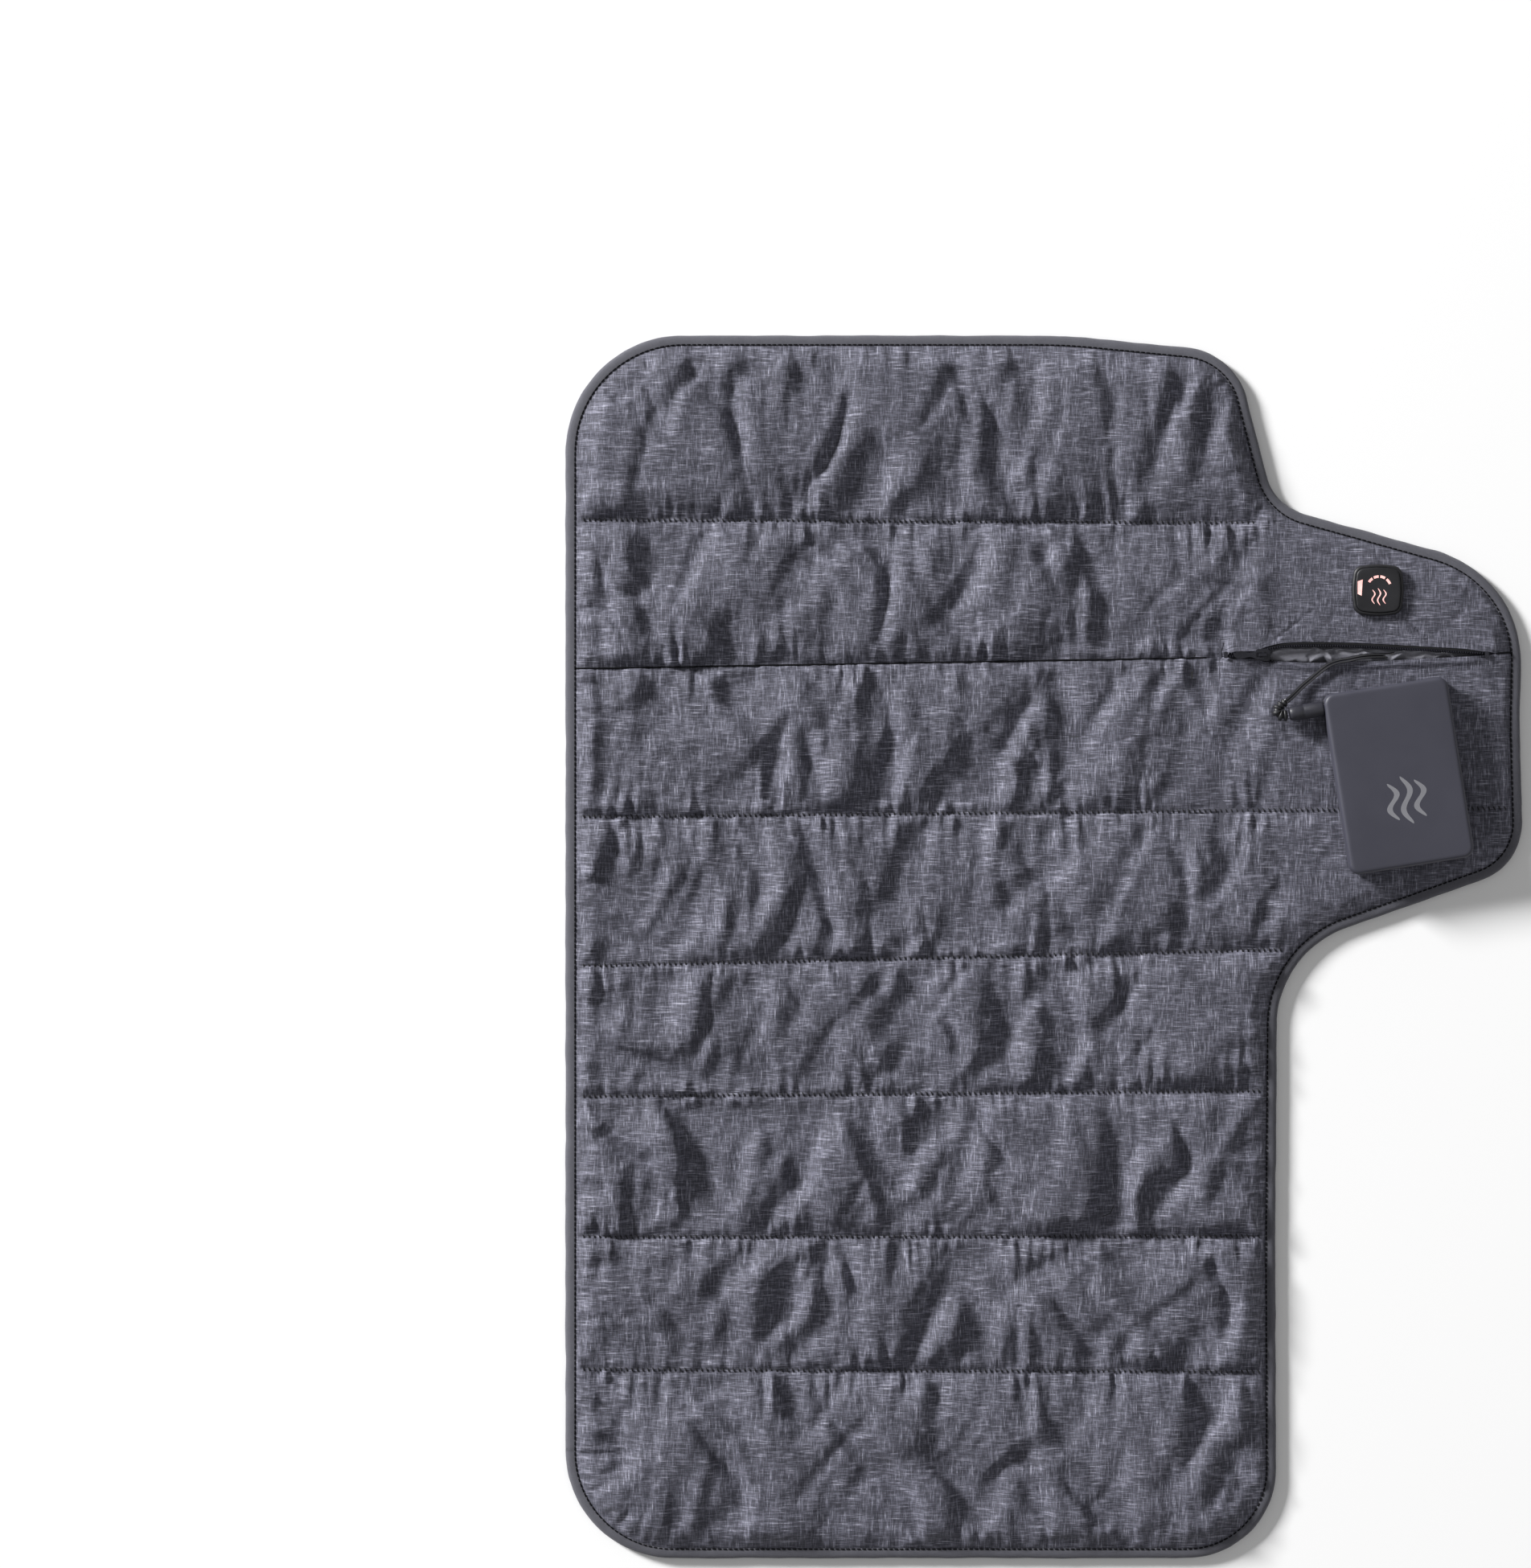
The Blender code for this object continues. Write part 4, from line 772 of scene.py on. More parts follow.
def lining_height(x, y, inset, along):
    """Height of the satin lining: loose folds, and two flat pouches sewn round the heaters."""
    frame_distance = np.full(x.shape, 1e9)
    inside = np.zeros(x.shape)
    for x0, y0, x1, y1 in HEATER_PANELS_MM:
        dx = np.maximum(x0 - x, x - x1)
        dy = np.maximum(y0 - y, y - y1)
        outside = np.hypot(np.maximum(dx, 0), np.maximum(dy, 0))
        signed = np.where((dx < 0) & (dy < 0), np.maximum(dx, dy), outside)
        frame_distance = np.minimum(frame_distance, np.abs(signed))
        inside = np.maximum(inside, (signed < 0) * 1.0)
    bend = 40 * streaks(x, y, 110, 110, 21.3)
    loose = streaks(x + bend, y - 0.6 * bend, 60, 26, 14.2) * 4.4
    loose = loose + streaks(x + 0.8 * y, y - 0.5 * x, 34, 120, 17.9) * 3.6
    calm = streaks(x, y, 70, 24, 19.1) * 3.0
    relief = np.where(inside > 0, calm * 0.9, loose)
    crimp = streaks(x + y * 0.35, y - x * 0.35, 4.5, 4.5, 23.3) * np.exp(-frame_distance / 5)
    drawn_up = 1.5 * np.exp(-frame_distance / 2.2)
    height = 1.1 + relief + 1.3 * crimp + drawn_up
    height = LINING_LOW_MM + np.logaddexp(0, (height - LINING_LOW_MM) * 3) / 3
    height = LINING_HIGH_MM - np.logaddexp(0, (LINING_HIGH_MM - height) * 3) / 3
    rim = 1.7 + 0.25 * streaks(along, inset, 9, 9, 25.0, 1)
    share = smooth_step(4.6, 9.0, inset)
    return rim + (height - rim) * share


def make_lining():
    """The satin sheet on the underside."""
    x, y = np.meshgrid(
        np.arange(LEFT_MM, RIGHT_MM + LINING_CELL_MM, LINING_CELL_MM),
        np.arange(LINING_TOP_MM, -LINING_TOP_MM - LINING_CELL_MM, -LINING_CELL_MM),
    )
    inset, to_edge, along = from_edge(x, y)
    p = np.stack([x, y, lining_height(x, y, inset, along)], 2)
    pull_to_rim(p, inset, to_edge, LINING_TRIM_MM, LINING_CELL_MM * 0.6)
    flat = np.stack([x, y], 2)
    lining = grid_piece("lining_satin", p, flat, inset > LINING_TRIM_MM, rows_rise=True)
    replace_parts(lining, "lining_upper", "lining_lower")
    bend_over_fold(lining)
    return lining


# The binding and its stitches

BINDING_SECTION_MM = [
    (5.6, 4.35), (5.8, 4.62), (5.6, 4.92), (4.9, 5.05), (3.0, 5.0), (1.5, 4.75), (0.5, 4.1),
    (0.0, 3.2), (-0.05, 2.4), (0.3, 1.4), (1.1, 0.62), (2.4, 0.32), (3.8, 0.3), (4.05, 0.6),
    (3.8, 0.95), (2.3, 1.05), (1.35, 1.5), (0.95, 2.6), (1.3, 3.6), (2.2, 4.2), (4.2, 4.3),
]
BINDING_STEP_MM = 2.2
EDGE_STITCH_AT_MM = 5.3
THREAD_RADIUS_MM = 0.42


def edge_line(inset, step):
    """Evenly spaced points on the outline moved inwards, closed, with outward normals."""
    line = outline(inset)
    line = even_points(np.vstack([line, line[:1]]), step)[:-1]
    ahead = np.roll(line, -1, 0) - np.roll(line, 1, 0)
    ahead /= np.linalg.norm(ahead, axis=1)[:, None]
    return line, np.stack([ahead[:, 1], -ahead[:, 0]], 1)


def make_binding():
    """The folded tape round the edge, a little uneven as sewn tape is."""
    line, out = edge_line(0.0, BINDING_STEP_MM)
    count = len(line)
    turn = 2 * math.pi * np.arange(count) / count
    uneven = []
    for wobbles, seed in ((24, 1.0), (70, 5.0), (50, 9.0)):
        spots = zip(np.cos(turn) * wobbles, np.sin(turn) * wobbles)
        uneven.append([noise.fractal(Vector((*spot, seed)), 1.0, 2.0, 2) for spot in spots])
    wander, tuck, lift = np.array(uneven)[..., None]
    section = np.array(BINDING_SECTION_MM)
    inset, height = section.T
    share = np.clip(inset / 6, 0, 1)
    inset = inset + 0.35 * wander * (1 - share) + 0.3 * tuck * share
    height = height + 0.28 * lift * share * (height > 2.0)
    points = np.dstack([line[:, None] - out[:, None] * inset[..., None], height])
    around = np.concatenate([[0], np.cumsum(np.linalg.norm(np.diff(section, axis=0), axis=1))])
    uv = np.dstack(np.meshgrid(np.arange(count) * BINDING_STEP_MM, around, indexing="ij"))
    sides = len(section)
    i, k = [v.ravel() for v in np.indices((count, sides))]
    j, n = (i + 1) % count, (k + 1) % sides
    faces = np.stack([i * sides + k, i * sides + n, j * sides + n, j * sides + k], 1)
    binding = mesh_from("edge_binding", points.reshape(-1, 3), faces, uv.reshape(-1, 2))
    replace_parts(binding, "binding_upper", "binding_lower")
    bend_over_fold(binding)
    return binding


def add_stitch(bm, start, end, dip):
    """One thread stitch that dives into the cloth at both ends, in millimetres."""
    start, end = np.asarray(start, float), np.asarray(end, float)
    line = [start - (0, 0, dip), start + (end - start) * 0.22, start + (end - start) * 0.78,
            end - (0, 0, dip)]
    sweep(bm, line, THREAD_RADIUS_MM * np.array((0.6, 1, 1, 0.6)), 5)


def make_edge_stitches():
    """The lockstitch that holds the binding, just inside its front edge; its thread is painted
    near black as painted shade along the binding's edge.
    """
    line, _ = edge_line(EDGE_STITCH_AT_MM, STITCH_PITCH_MM)
    line = np.column_stack([line, np.full(len(line), 5.12)])
    bm = bmesh.new()
    for start, end in zip(line, np.roll(line, -1, 0)):
        step = end - start
        add_stitch(bm, start + step * 0.08, start + step * 0.86, dip=0.4)
    stitches = add_mesh("edge_stitches", bm)
    bend_over_fold(stitches)
    return stitches


def grid_height(p, flat, x, y):
    """The front's height at points of the flat cloth, from the nearest point of the grid."""
    column = np.clip(np.round((x - flat[0, 0, 0]) / (flat[0, 1, 0] - flat[0, 0, 0])), 0,
                     flat.shape[1] - 1).astype(int)
    rows = np.abs(flat[:, column, 1] - y).argmin(0)
    return p[rows, column, 2]


def make_seam_stitches(p, flat):
    """Rows of short slanted stitches along the quilting seams."""
    made = []
    for k, (_, _, last) in enumerate(SEAMS_MM):
        if k == PANEL_SEAM:
            continue
        bm = bmesh.new()
        x = np.arange(FIRST_STITCH_MM, min(last, 262.0), STITCH_PITCH_MM)
        y = seam_height(k, x)
        inset = from_edge(x, y)[0]
        x, y = x[inset > 7.5], y[inset > 7.5]
        z = grid_height(p, flat, x, y)
        for a, b, c in zip(x, y, z):
            tilt = 0.55 + 0.15 * noise.noise(Vector((a * 0.7, k * 9.0, 0)))
            lean = 0.45 + 0.2 * tilt
            c += 0.75
            add_stitch(bm, (a - lean, b + 2 * tilt, c), (a + lean, b - 2 * tilt, c), dip=0.6)
        row = add_mesh(f"seam_stitches_{k + 1}", bm)
        if k == 3:
            bend_over_fold(row)
        else:
            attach(row, "pad_upper" if k < 3 else "pad_lower")
        made.append(row)
    return made


def make_panel_seam(p, flat):
    """The line where the two panels are sewn together, left and right of the zip: a thread painted
    near black, as painted shade in the seam's valley.
    """
    bm = bmesh.new()
    for low, high in ((-263.0, 93.0), (253.0, 263.5)):
        x = np.arange(low, high, 2.0)
        y = panel_target(x, 0)
        z = grid_height(p, flat, x, seam_height(PANEL_SEAM, x))
        sweep(bm, np.stack([x, y, z + 0.05], 1), 0.55, 6)
    seam = add_mesh("panel_seam_line", bm)
    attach(seam, "pad_upper")
    return seam


# The zip

CHAIN_FIRST_MM = 103.0
CHAIN_HEIGHT_MM = 9.9
COIL_PITCH_MM = 1.35
COIL_SIDES = 9
COIL_WIDE_MM = 0.62
COIL_HIGH_MM = 0.6
COIL_WIRE_MM = 0.27
COIL_CORE_MM = 0.36
TAPE_FIRST_MM = 103.5
TAPE_LAST_MM = 248.0
TAPE_THICKNESS_MM = 0.32


def on_lip(x, side, out):
    """A point beside one lip of the zip, out millimetres from its middle."""
    bow = BOW_FRONT_MM if side > 0 else BOW_BACK_MM
    return ZIP_Y_MM + side * (out + zip_gap(x, bow))


def close_with_zip(piece):
    """Hangs the piece on the pad's upper half and gives it a mesh of its own."""
    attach(piece, "pad_upper")
    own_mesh(piece)


def make_coil(name, side, node):
    """One half of the chain: a nylon coil, wound round a cord along the lip."""
    bm = bmesh.new()
    turns = (ZIP_LAST_MM - CHAIN_FIRST_MM) / COIL_PITCH_MM
    steps = int(turns * COIL_SIDES)
    t = np.linspace(0, 1, steps)
    x = CHAIN_FIRST_MM + (ZIP_LAST_MM - CHAIN_FIRST_MM) * t
    a = 2 * math.pi * turns * t + (0 if side > 0 else math.pi)
    y = on_lip(x, side, 0.85) - side * COIL_WIDE_MM * np.cos(a)
    z = CHAIN_HEIGHT_MM + COIL_HIGH_MM * np.sin(a)
    sweep(bm, np.stack([x, y, z], 1), COIL_WIRE_MM, 5)
    x = x[::COIL_SIDES]
    core = np.stack([x, on_lip(x, side, 1.1), np.full(len(x), CHAIN_HEIGHT_MM)], 1)
    sweep(bm, core, COIL_CORE_MM, 5)
    coil = add_mesh(name, bm)
    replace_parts(coil, node)
    close_with_zip(coil)
    return coil


def make_tape(name, side, node):
    """The woven tape of one half of the zip, under the fabric's edge."""
    columns, across = 110, 8
    ring = 2 * (across + 1)
    share = np.concatenate([np.arange(across + 1), np.arange(across, -1, -1)]) / across
    thick = np.repeat((0, TAPE_THICKNESS_MM), across + 1)
    x = np.linspace(TAPE_FIRST_MM, TAPE_LAST_MM, columns + 1)[:, None] + 0 * share
    out = 1.3 + 11.0 * share + 0 * x
    drop = 1.7 - 1.42 * plateau(x, 142, 147, 157, 162)
    z = 9.12 - thick - drop * smooth_step(0.12, 0.6, share)
    z -= 1.6 * (1 - smooth_step(0, 5, x - TAPE_FIRST_MM))
    i, k = [v.ravel() for v in np.indices((columns, ring))]
    n = (k + 1) % ring
    faces = np.stack([i * ring + k, i * ring + ring + k, i * ring + ring + n, i * ring + n], 1)
    k = np.arange(across)
    cap = np.stack([k, k + 1, ring - 2 - k, ring - 1 - k], 1)
    faces = np.vstack([faces, cap, columns * ring + cap[:, ::-1]])[:, ::side]
    points = np.dstack([x, on_lip(x, side, out), z]).reshape(-1, 3)
    tape = mesh_from(name, points, faces, np.dstack([x, out]).reshape(-1, 2))
    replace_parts(tape, node)
    close_with_zip(tape)
    return tape


def make_pocket_liner():
    """The satin bag: a back leaf that ruffles up in the zip's opening, and a front leaf."""
    low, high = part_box("pocket_back")
    x, y = np.meshgrid(np.linspace(low.x / MM, high.x / MM, 230),
                       np.linspace(low.y / MM, high.y / MM, 180))
    flat = np.stack([x, y], 2)
    up = y - ZIP_Y_MM
    slit = plateau(x, 118, 130, 226, 247) * np.exp(-((up / 6.5) ** 2))
    right = np.abs(streaks(x + 1.1 * up, y, 12.0, 60, 31.0, 1))
    left = np.abs(streaks(x - 1.5 * up, y, 16.0, 60, 33.0, 1))
    pleats = 1.0 - 3.4 * np.minimum(right, left + 0.12)
    z = 3.1 + slit * (4.3 + 2.4 * np.clip(pleats, -1.2, 1)) + 0.25 * streaks(x, y, 22, 30, 35.0)
    z = np.clip(z, 2.95, between((7.45, 9.8), smooth_step(157, 163, x)))
    whole = np.ones(x.shape, bool)
    back = grid_piece("pocket_liner_back", np.dstack([flat, z]), flat, whole, rows_rise=True)
    z = np.clip(6.4 + 0.2 * streaks(x, y, 25, 25, 37.0), 6.0, 6.8)
    mouth = (x > 100) & (x < 249) & (np.abs(up) < 8.2)
    front = grid_piece("pocket_liner_front", np.dstack([flat, z]), flat, ~mouth, rows_rise=True)
    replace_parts(back, "pocket_back")
    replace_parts(front, "pocket_front", "pocket_seam")
    for piece in (back, front):
        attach(piece, "pad_upper")
    return back, front


# Hard pieces: controller and battery

SHARP_ANGLE = math.radians(40)
BEZEL_BULGE_MM = 0.7
BEZEL_WIDTH_MM = 1.75
CAP_BULGE_MM = 0.62
CAP_THICKNESS_MM = 1.9
LIT_CENTRE_MM = (186.75, 200.7)
LIT_ARC_MM = (5.9, 7.3)
LIT_BAR_MM = [(174.8, 204.6), (174.8, 197.6), (177.0, 196.6), (177.6, 205.6)]


def squircle(half, corner, bulge, per_side=10):
    """A rounded square's outline, anticlockwise, with sides that bulge a little."""
    made = []
    for side in range(4):
        a = side * math.pi / 2
        forward = (math.cos(a), math.sin(a))
        left = (-math.sin(a), math.cos(a))
        for k in range(per_side):
            t = -1 + 2 * k / per_side
            s = t * (half - corner)
            out = half + bulge * (1 - t * t)
            made.append((forward[0] * out + left[0] * s, forward[1] * out + left[1] * s))
        for k in range(per_side):
            b = (k / per_side) * math.pi / 2
            cx, cy = half - corner, half - corner
            px, py = cx + corner * math.cos(b), cy + corner * math.sin(b)
            made.append((forward[0] * px + left[0] * py, forward[1] * px + left[1] * py))
    return np.array(made)


def stack(name, rings, centre_mm, turn=0.0):
    """A solid from outlines at heights, each (outline, z), capped at both ends."""
    bm = bmesh.new()
    rows = []
    for points, z in rings:
        spots = [turned(x, y, turn, centre_mm) for x, y in points]
        rows.append([bm.verts.new(Vector((*spot, z)) * MM) for spot in spots])
    skin(bm, rows)
    bmesh.ops.recalc_face_normals(bm, faces=bm.faces)
    obj = add_mesh(name, bm)
    obj.data.set_sharp_from_angle(angle=SHARP_ANGLE)
    return obj


def rounded_rect(half_x, half_y, corner, per_corner=10):
    """A rounded rectangle's outline, anticlockwise."""
    made = []
    for k, (sx, sy) in enumerate(((1, 1), (-1, 1), (-1, -1), (1, -1))):
        for i in range(per_corner + 1):
            a = k * math.pi / 2 + i / per_corner * math.pi / 2
            made.append((sx * (half_x - corner) + corner * math.cos(a),
                         sy * (half_y - corner) + corner * math.sin(a)))
    return np.array(made)


def make_controller():
    """The rubber bezel and its cap, with lit marks: an arc of four, a lamp and a heat sign."""
    low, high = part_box("controller_frame")
    centre = [v / MM for v in ((low + high) / 2).xy]
    half = (high.x - low.x) / 2 / MM - BEZEL_BULGE_MM
    bottom, top = low.z / MM, high.z / MM
    rings = []
    for inset, z in (
        (0.5, bottom), (0.1, bottom + 0.35), (0.0, bottom + 1.0), (0.05, top - 1.2),
        (0.3, top - 0.6), (0.75, top - 0.2), (1.2, top), (1.55, top - 0.1), (1.62, top - 0.4),
        (1.62, bottom + 0.9),
    ):
        rings.append((squircle(half - inset, 5.6 - inset * 0.6, BEZEL_BULGE_MM), z))
    bezel = stack("controller_bezel", rings, centre)
    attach(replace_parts(bezel, "controller_frame"), "pad_upper")

    low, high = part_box("power_button")
    bottom, top = low.z / MM, high.z / MM
    under = top - CAP_THICKNESS_MM
    rings = [(squircle(2.5, 1.0, CAP_BULGE_MM), z) for z in (bottom, under)]
    for inset, z in (
        (0.4, under), (0.0, under + 0.3), (0.0, top - 0.7), (0.12, top - 0.35),
        (0.4, top - 0.14), (0.9, top - 0.05), (2.5, top), (6.0, top + 0.02),
    ):
        outline_mm = squircle(half - BEZEL_WIDTH_MM - inset, 4.4 - inset * 0.5, CAP_BULGE_MM)
        rings.append((outline_mm, z))
    cap = stack("button_cap", rings, centre)
    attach(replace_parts(cap, "power_button"), "power_button")

    bm = bmesh.new()
    z0, z1 = top - 0.1, top + 0.12
    for first, last in ((148, 124), (116, 92), (84, 60), (50, 22)):
        turns = np.radians(np.linspace(first, last, 8))
        inner, outer = [[turned(r, 0, a, LIT_CENTRE_MM) for a in turns] for r in LIT_ARC_MM]
        add_prism(bm, outer + inner[::-1], z0, z1)
    add_prism(bm, LIT_BAR_MM, z0, z1)
    for k, tall in ((-1, 8.0), (0, 9.6), (1, 8.0)):
        add_wave(bm, (LIT_CENTRE_MM[0] + k * 3.1, 196.0), tall, 0.75, 0.8, 0, z0, z1)
    marks = add_mesh("button_marks", bm, smooth=False)
    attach(marks, "power_button")
    return bezel, cap, marks


def add_prism(bm, outline_mm, z0, z1):
    """A flat raised shape."""
    rings = [[bm.verts.new(Vector((x, y, z)) * MM) for x, y in outline_mm] for z in (z0, z1)]
    bmesh.ops.recalc_face_normals(bm, faces=skin(bm, rings))


def add_wave(bm, centre_mm, tall, wide, sway, turn, z0, z1):
    """One wavy upright stroke of a heat sign, tapered at both ends."""
    t = np.linspace(-0.5, 0.5, 22)
    middle = sway * np.sin(t * 2 * math.pi * 1.25)
    half = wide / 2 * np.sqrt(np.clip(1 - (2 * t) ** 4, 0.02, 1))
    left = [(m - h, tall * v) for m, h, v in zip(middle, half, t)]
    right = [(m + h, tall * v) for m, h, v in zip(middle, half, t)]
    add_prism(bm, [turned(x, y, turn, centre_mm) for x, y in right + left[::-1]], z0, z1)


def make_battery():
    """The battery's two soft-touch halves and a plain heat sign on its face."""
    bottom = BATTERY_BOTTOM_MM
    top = bottom + BATTERY_SIZE_MM[2]
    middle = (bottom + top) / 2
    upper = [
        (0.35, middle + 0.12), (0.0, middle + 0.4), (0.0, top - 2.4), (0.12, top - 1.6),
        (0.5, top - 0.85), (1.1, top - 0.32), (1.9, top - 0.06), (2.9, top), (9.0, top),
        (20.0, top),
    ]
    lower = [
        (20.0, bottom), (9.0, bottom), (2.4, bottom), (1.5, bottom + 0.1), (0.8, bottom + 0.45),
        (0.3, bottom + 1.1), (0.0, bottom + 2.0), (0.0, middle - 0.4), (0.35, middle - 0.12),
    ]
    made = []
    for name, half, profile in (("top", "upper", upper), ("base", "lower", lower)):
        rings = []
        for inset, z in profile:
            x, y = [side / 2 - inset for side in BATTERY_SIZE_MM[:2]]
            rings.append((rounded_rect(x, y, max(BATTERY_CORNER_MM - inset, 1.5)), z))
        shell = stack(f"battery_{name}_shell", rings, BATTERY_CENTRE_MM, BATTERY_TURN)
        made.append(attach(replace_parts(shell, f"battery_case_{half}"), "battery"))
    bm = bmesh.new()
    for k, tall in ((-1, 21.0), (0, 27.0), (1, 21.0)):
        centre = on_battery(2.0 + k * 7.6, -14.0, 0)
        add_wave(bm, centre, tall, 3.2, 2.6, BATTERY_TURN, top - 0.05, top + 0.03)
    mark = add_mesh("battery_heat_sign", bm, smooth=False)
    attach(mark, "battery")
    return (*made, mark)


lining = make_lining()
front_panels, front_points, front_flat = make_front()
binding = make_binding()
edge_stitches = make_edge_stitches()
seam_stitches = make_seam_stitches(front_points, front_flat)
panel_seam = make_panel_seam(front_points, front_flat)
halves = (("front", 1), ("back", -1))
coils = [make_coil(f"coil_{half}", side, f"zip_chain_{half}") for half, side in halves]
tapes = [make_tape(f"tape_{half}", side, f"zip_tape_{half}") for half, side in halves]
liners = make_pocket_liner()
bezel, cap, marks = make_controller()
battery_top, battery_base, battery_mark = make_battery()


# Materials


def new_material(name, settings=None):
    """A material, its node tree, and its main shader with some settings."""
    made = bpy.data.materials.new(name)
    made.use_nodes = True
    tree = made.node_tree
    shader = tree.nodes["Principled BSDF"]
    for key, value in (settings or {}).items():
        shader.inputs[key].default_value = value
    return made, tree, shader


def node(tree, kind, inputs=None, **settings):
    """A node with its settings, and inputs given as numbers or sockets."""
    made = tree.nodes.new(kind)
    for key, value in settings.items():
        setattr(made, key, value)
    for key, value in (inputs or {}).items():
        if isinstance(value, bpy.types.NodeSocket):
            tree.links.new(value, made.inputs[key])
        else:
            made.inputs[key].default_value = value
    return made


def maths(operation, a, b=0.0):
    """A maths node on a socket a, and a socket or number b."""
    return node(a.id_data, "ShaderNodeMath", {0: a, 1: b}, operation=operation).outputs[0]


def times(a, b):
    return maths("MULTIPLY", a, b)


def plus(a, b):
    return maths("ADD", a, b)


def weave(u, v, pitch):
    """A value that rises and falls both ways, as plain weave does."""
    across = maths("SINE", times(u, 2 * math.pi / pitch))
    return times(across, maths("SINE", times(v, 2 * math.pi / pitch)))


def ramp(value, stops):
    """A ramp from (place, level) stops, a level being a grey, (grey, blue) or a colour."""
    made = node(value.id_data, "ShaderNodeValToRGB", {"Fac": value})
    elements = made.color_ramp.elements
    while len(elements) < len(stops):
        elements.new(0.5)
    for element, (place, colour) in zip(elements, stops):
        element.position = place
        if not isinstance(colour, tuple):
            colour = (colour, colour, colour)
        if len(colour) == 2:
            colour = (colour[0], *colour)
        element.color = (*colour, 1.0)
    return made.outputs["Color"]


def drive(socket, value, stops):
    """Drives a shader's input from a value, through a ramp."""
    socket.id_data.links.new(ramp(value, stops), socket)


def cells_noise(source, scale, detail=2.0, rough=0.5):
    """Noise over scaled coordinates."""
    tree = source.id_data
    scale = scale if isinstance(scale, tuple) else (scale,) * 3
    place = node(tree, "ShaderNodeVectorMath", {0: source, 1: scale}, operation="MULTIPLY")
    return node(
        tree, "ShaderNodeTexNoise",
        {"Vector": place.outputs[0], "Scale": 1.0, "Detail": detail, "Roughness": rough},
    ).outputs["Fac"]


def threads(across, along, pitch, run, seed):
    """A value for each thread that changes along it: noise whose rows don't mix."""
    tree = across.id_data
    row = maths("FLOOR", maths("DIVIDE", across, pitch))
    inputs = {"X": maths("DIVIDE", along, run), "Y": times(row, 7.37), "Z": seed}
    place = node(tree, "ShaderNodeCombineXYZ", inputs).outputs[0]
    inputs = {"Vector": place, "Scale": 1.0, "Detail": 1.5}
    return node(tree, "ShaderNodeTexNoise", inputs).outputs["Fac"]


def bump(shader, height, distance, strength=1.0, under=None):
    """Bumps a shader by a height, over the bump under it."""
    tree = shader.id_data
    inputs = {"Height": height, "Distance": distance, "Strength": strength}
    if under is not None:
        inputs["Normal"] = under
    made = node(tree, "ShaderNodeBump", inputs)
    tree.links.new(made.outputs["Normal"], shader.inputs["Normal"])
    return made.outputs["Normal"]


def in_object(tree):
    """A place in the object's own frame, in metres."""
    return node(tree, "ShaderNodeTexCoord").outputs["Object"]


def uv_parts(tree):
    """The cloth map, whole and by its two sides, in metres."""
    source = node(tree, "ShaderNodeUVMap", uv_map="cloth").outputs["UV"]
    parts = node(tree, "ShaderNodeSeparateXYZ", {"Vector": source})
    return source, parts.outputs["X"], parts.outputs["Y"]


def make_heather():
    """Heathered crosshatch cloth: slubbed threads both ways, some pale, over a dark ground."""
    made, tree, shader = new_material("heather_cloth", {
        "Roughness": 0.7, "Specular IOR Level": 0.35, "Sheen Weight": 0.06,
        "Sheen Roughness": 0.5,
    })
    source, u, v = uv_parts(tree)
    weft = ramp(threads(v, u, 0.6 * MM, 10 * MM, 1.0), [(0.42, 0.0), (0.75, 1.0)])
    warp = ramp(threads(u, v, 0.6 * MM, 8.5 * MM, 5.0), [(0.44, 0.0), (0.77, 1.0)])
    small = times(threads(v, u, 0.36 * MM, 5 * MM, 9.0), threads(u, v, 0.36 * MM, 5 * MM, 13.0))
    small = ramp(small, [(0.16, 0.0), (0.38, 1.0)])
    patch = ramp(cells_noise(source, (60, 45, 1)), [(0.4, 0.0), (0.6, 1.0)])
    either = node(tree, "ShaderNodeMix", {"Factor": patch, 2: weft, 3: warp}).outputs[0]
    slubs = times(plus(either, maths("MAXIMUM", weft, warp)), 0.6)
    light = plus(times(slubs, 0.62), times(small, 0.38))
    cloudy = cells_noise(source, (28, 40, 1), 3)
    light = times(light, plus(times(cloudy, 0.3), 0.85))
    drive(shader.inputs["Base Color"], light, [
        (0.0, (0.034, 0.047)), (0.3, (0.072, 0.095)), (0.62, (0.158, 0.203)), (0.9, (0.31, 0.375)),
    ])
    raised = plus(times(weave(u, v, 0.9 * MM), 0.3), light)
    under = bump(shader, raised, 0.00018)
    bump(shader, cells_noise(source, (230, 150, 1), 3, 0.55), 0.0009, 0.55, under)
    return made


def make_woven(name, dark, pale, roughness, pitch, sheen=0.1, specular=0.3, crease=0.0):
    """A plain woven cloth in two near colours, with a fine rib."""
    made, tree, shader = new_material(name, {
        "Specular IOR Level": specular, "Sheen Weight": sheen,
    })
    source, u, v = uv_parts(tree)
    one = threads(v, u, pitch, 4 * MM, 2.0)
    two = threads(u, v, pitch, 4 * MM, 6.0)
    cloud = cells_noise(source, 45, 4)
    mix = plus(plus(times(one, 0.35), times(two, 0.25)), times(cloud, 0.4))
    drive(shader.inputs["Base Color"], mix, [(0.32, dark), (0.68, pale)])
    drive(shader.inputs["Roughness"], cloud, [(0.3, roughness - 0.07), (0.7, roughness + 0.07)])
    under = bump(shader, weave(u, v, pitch), pitch * 0.12)
    if crease:
        bump(shader, cells_noise(source, 90, 5, 0.6), crease, 0.6, under)
    return made


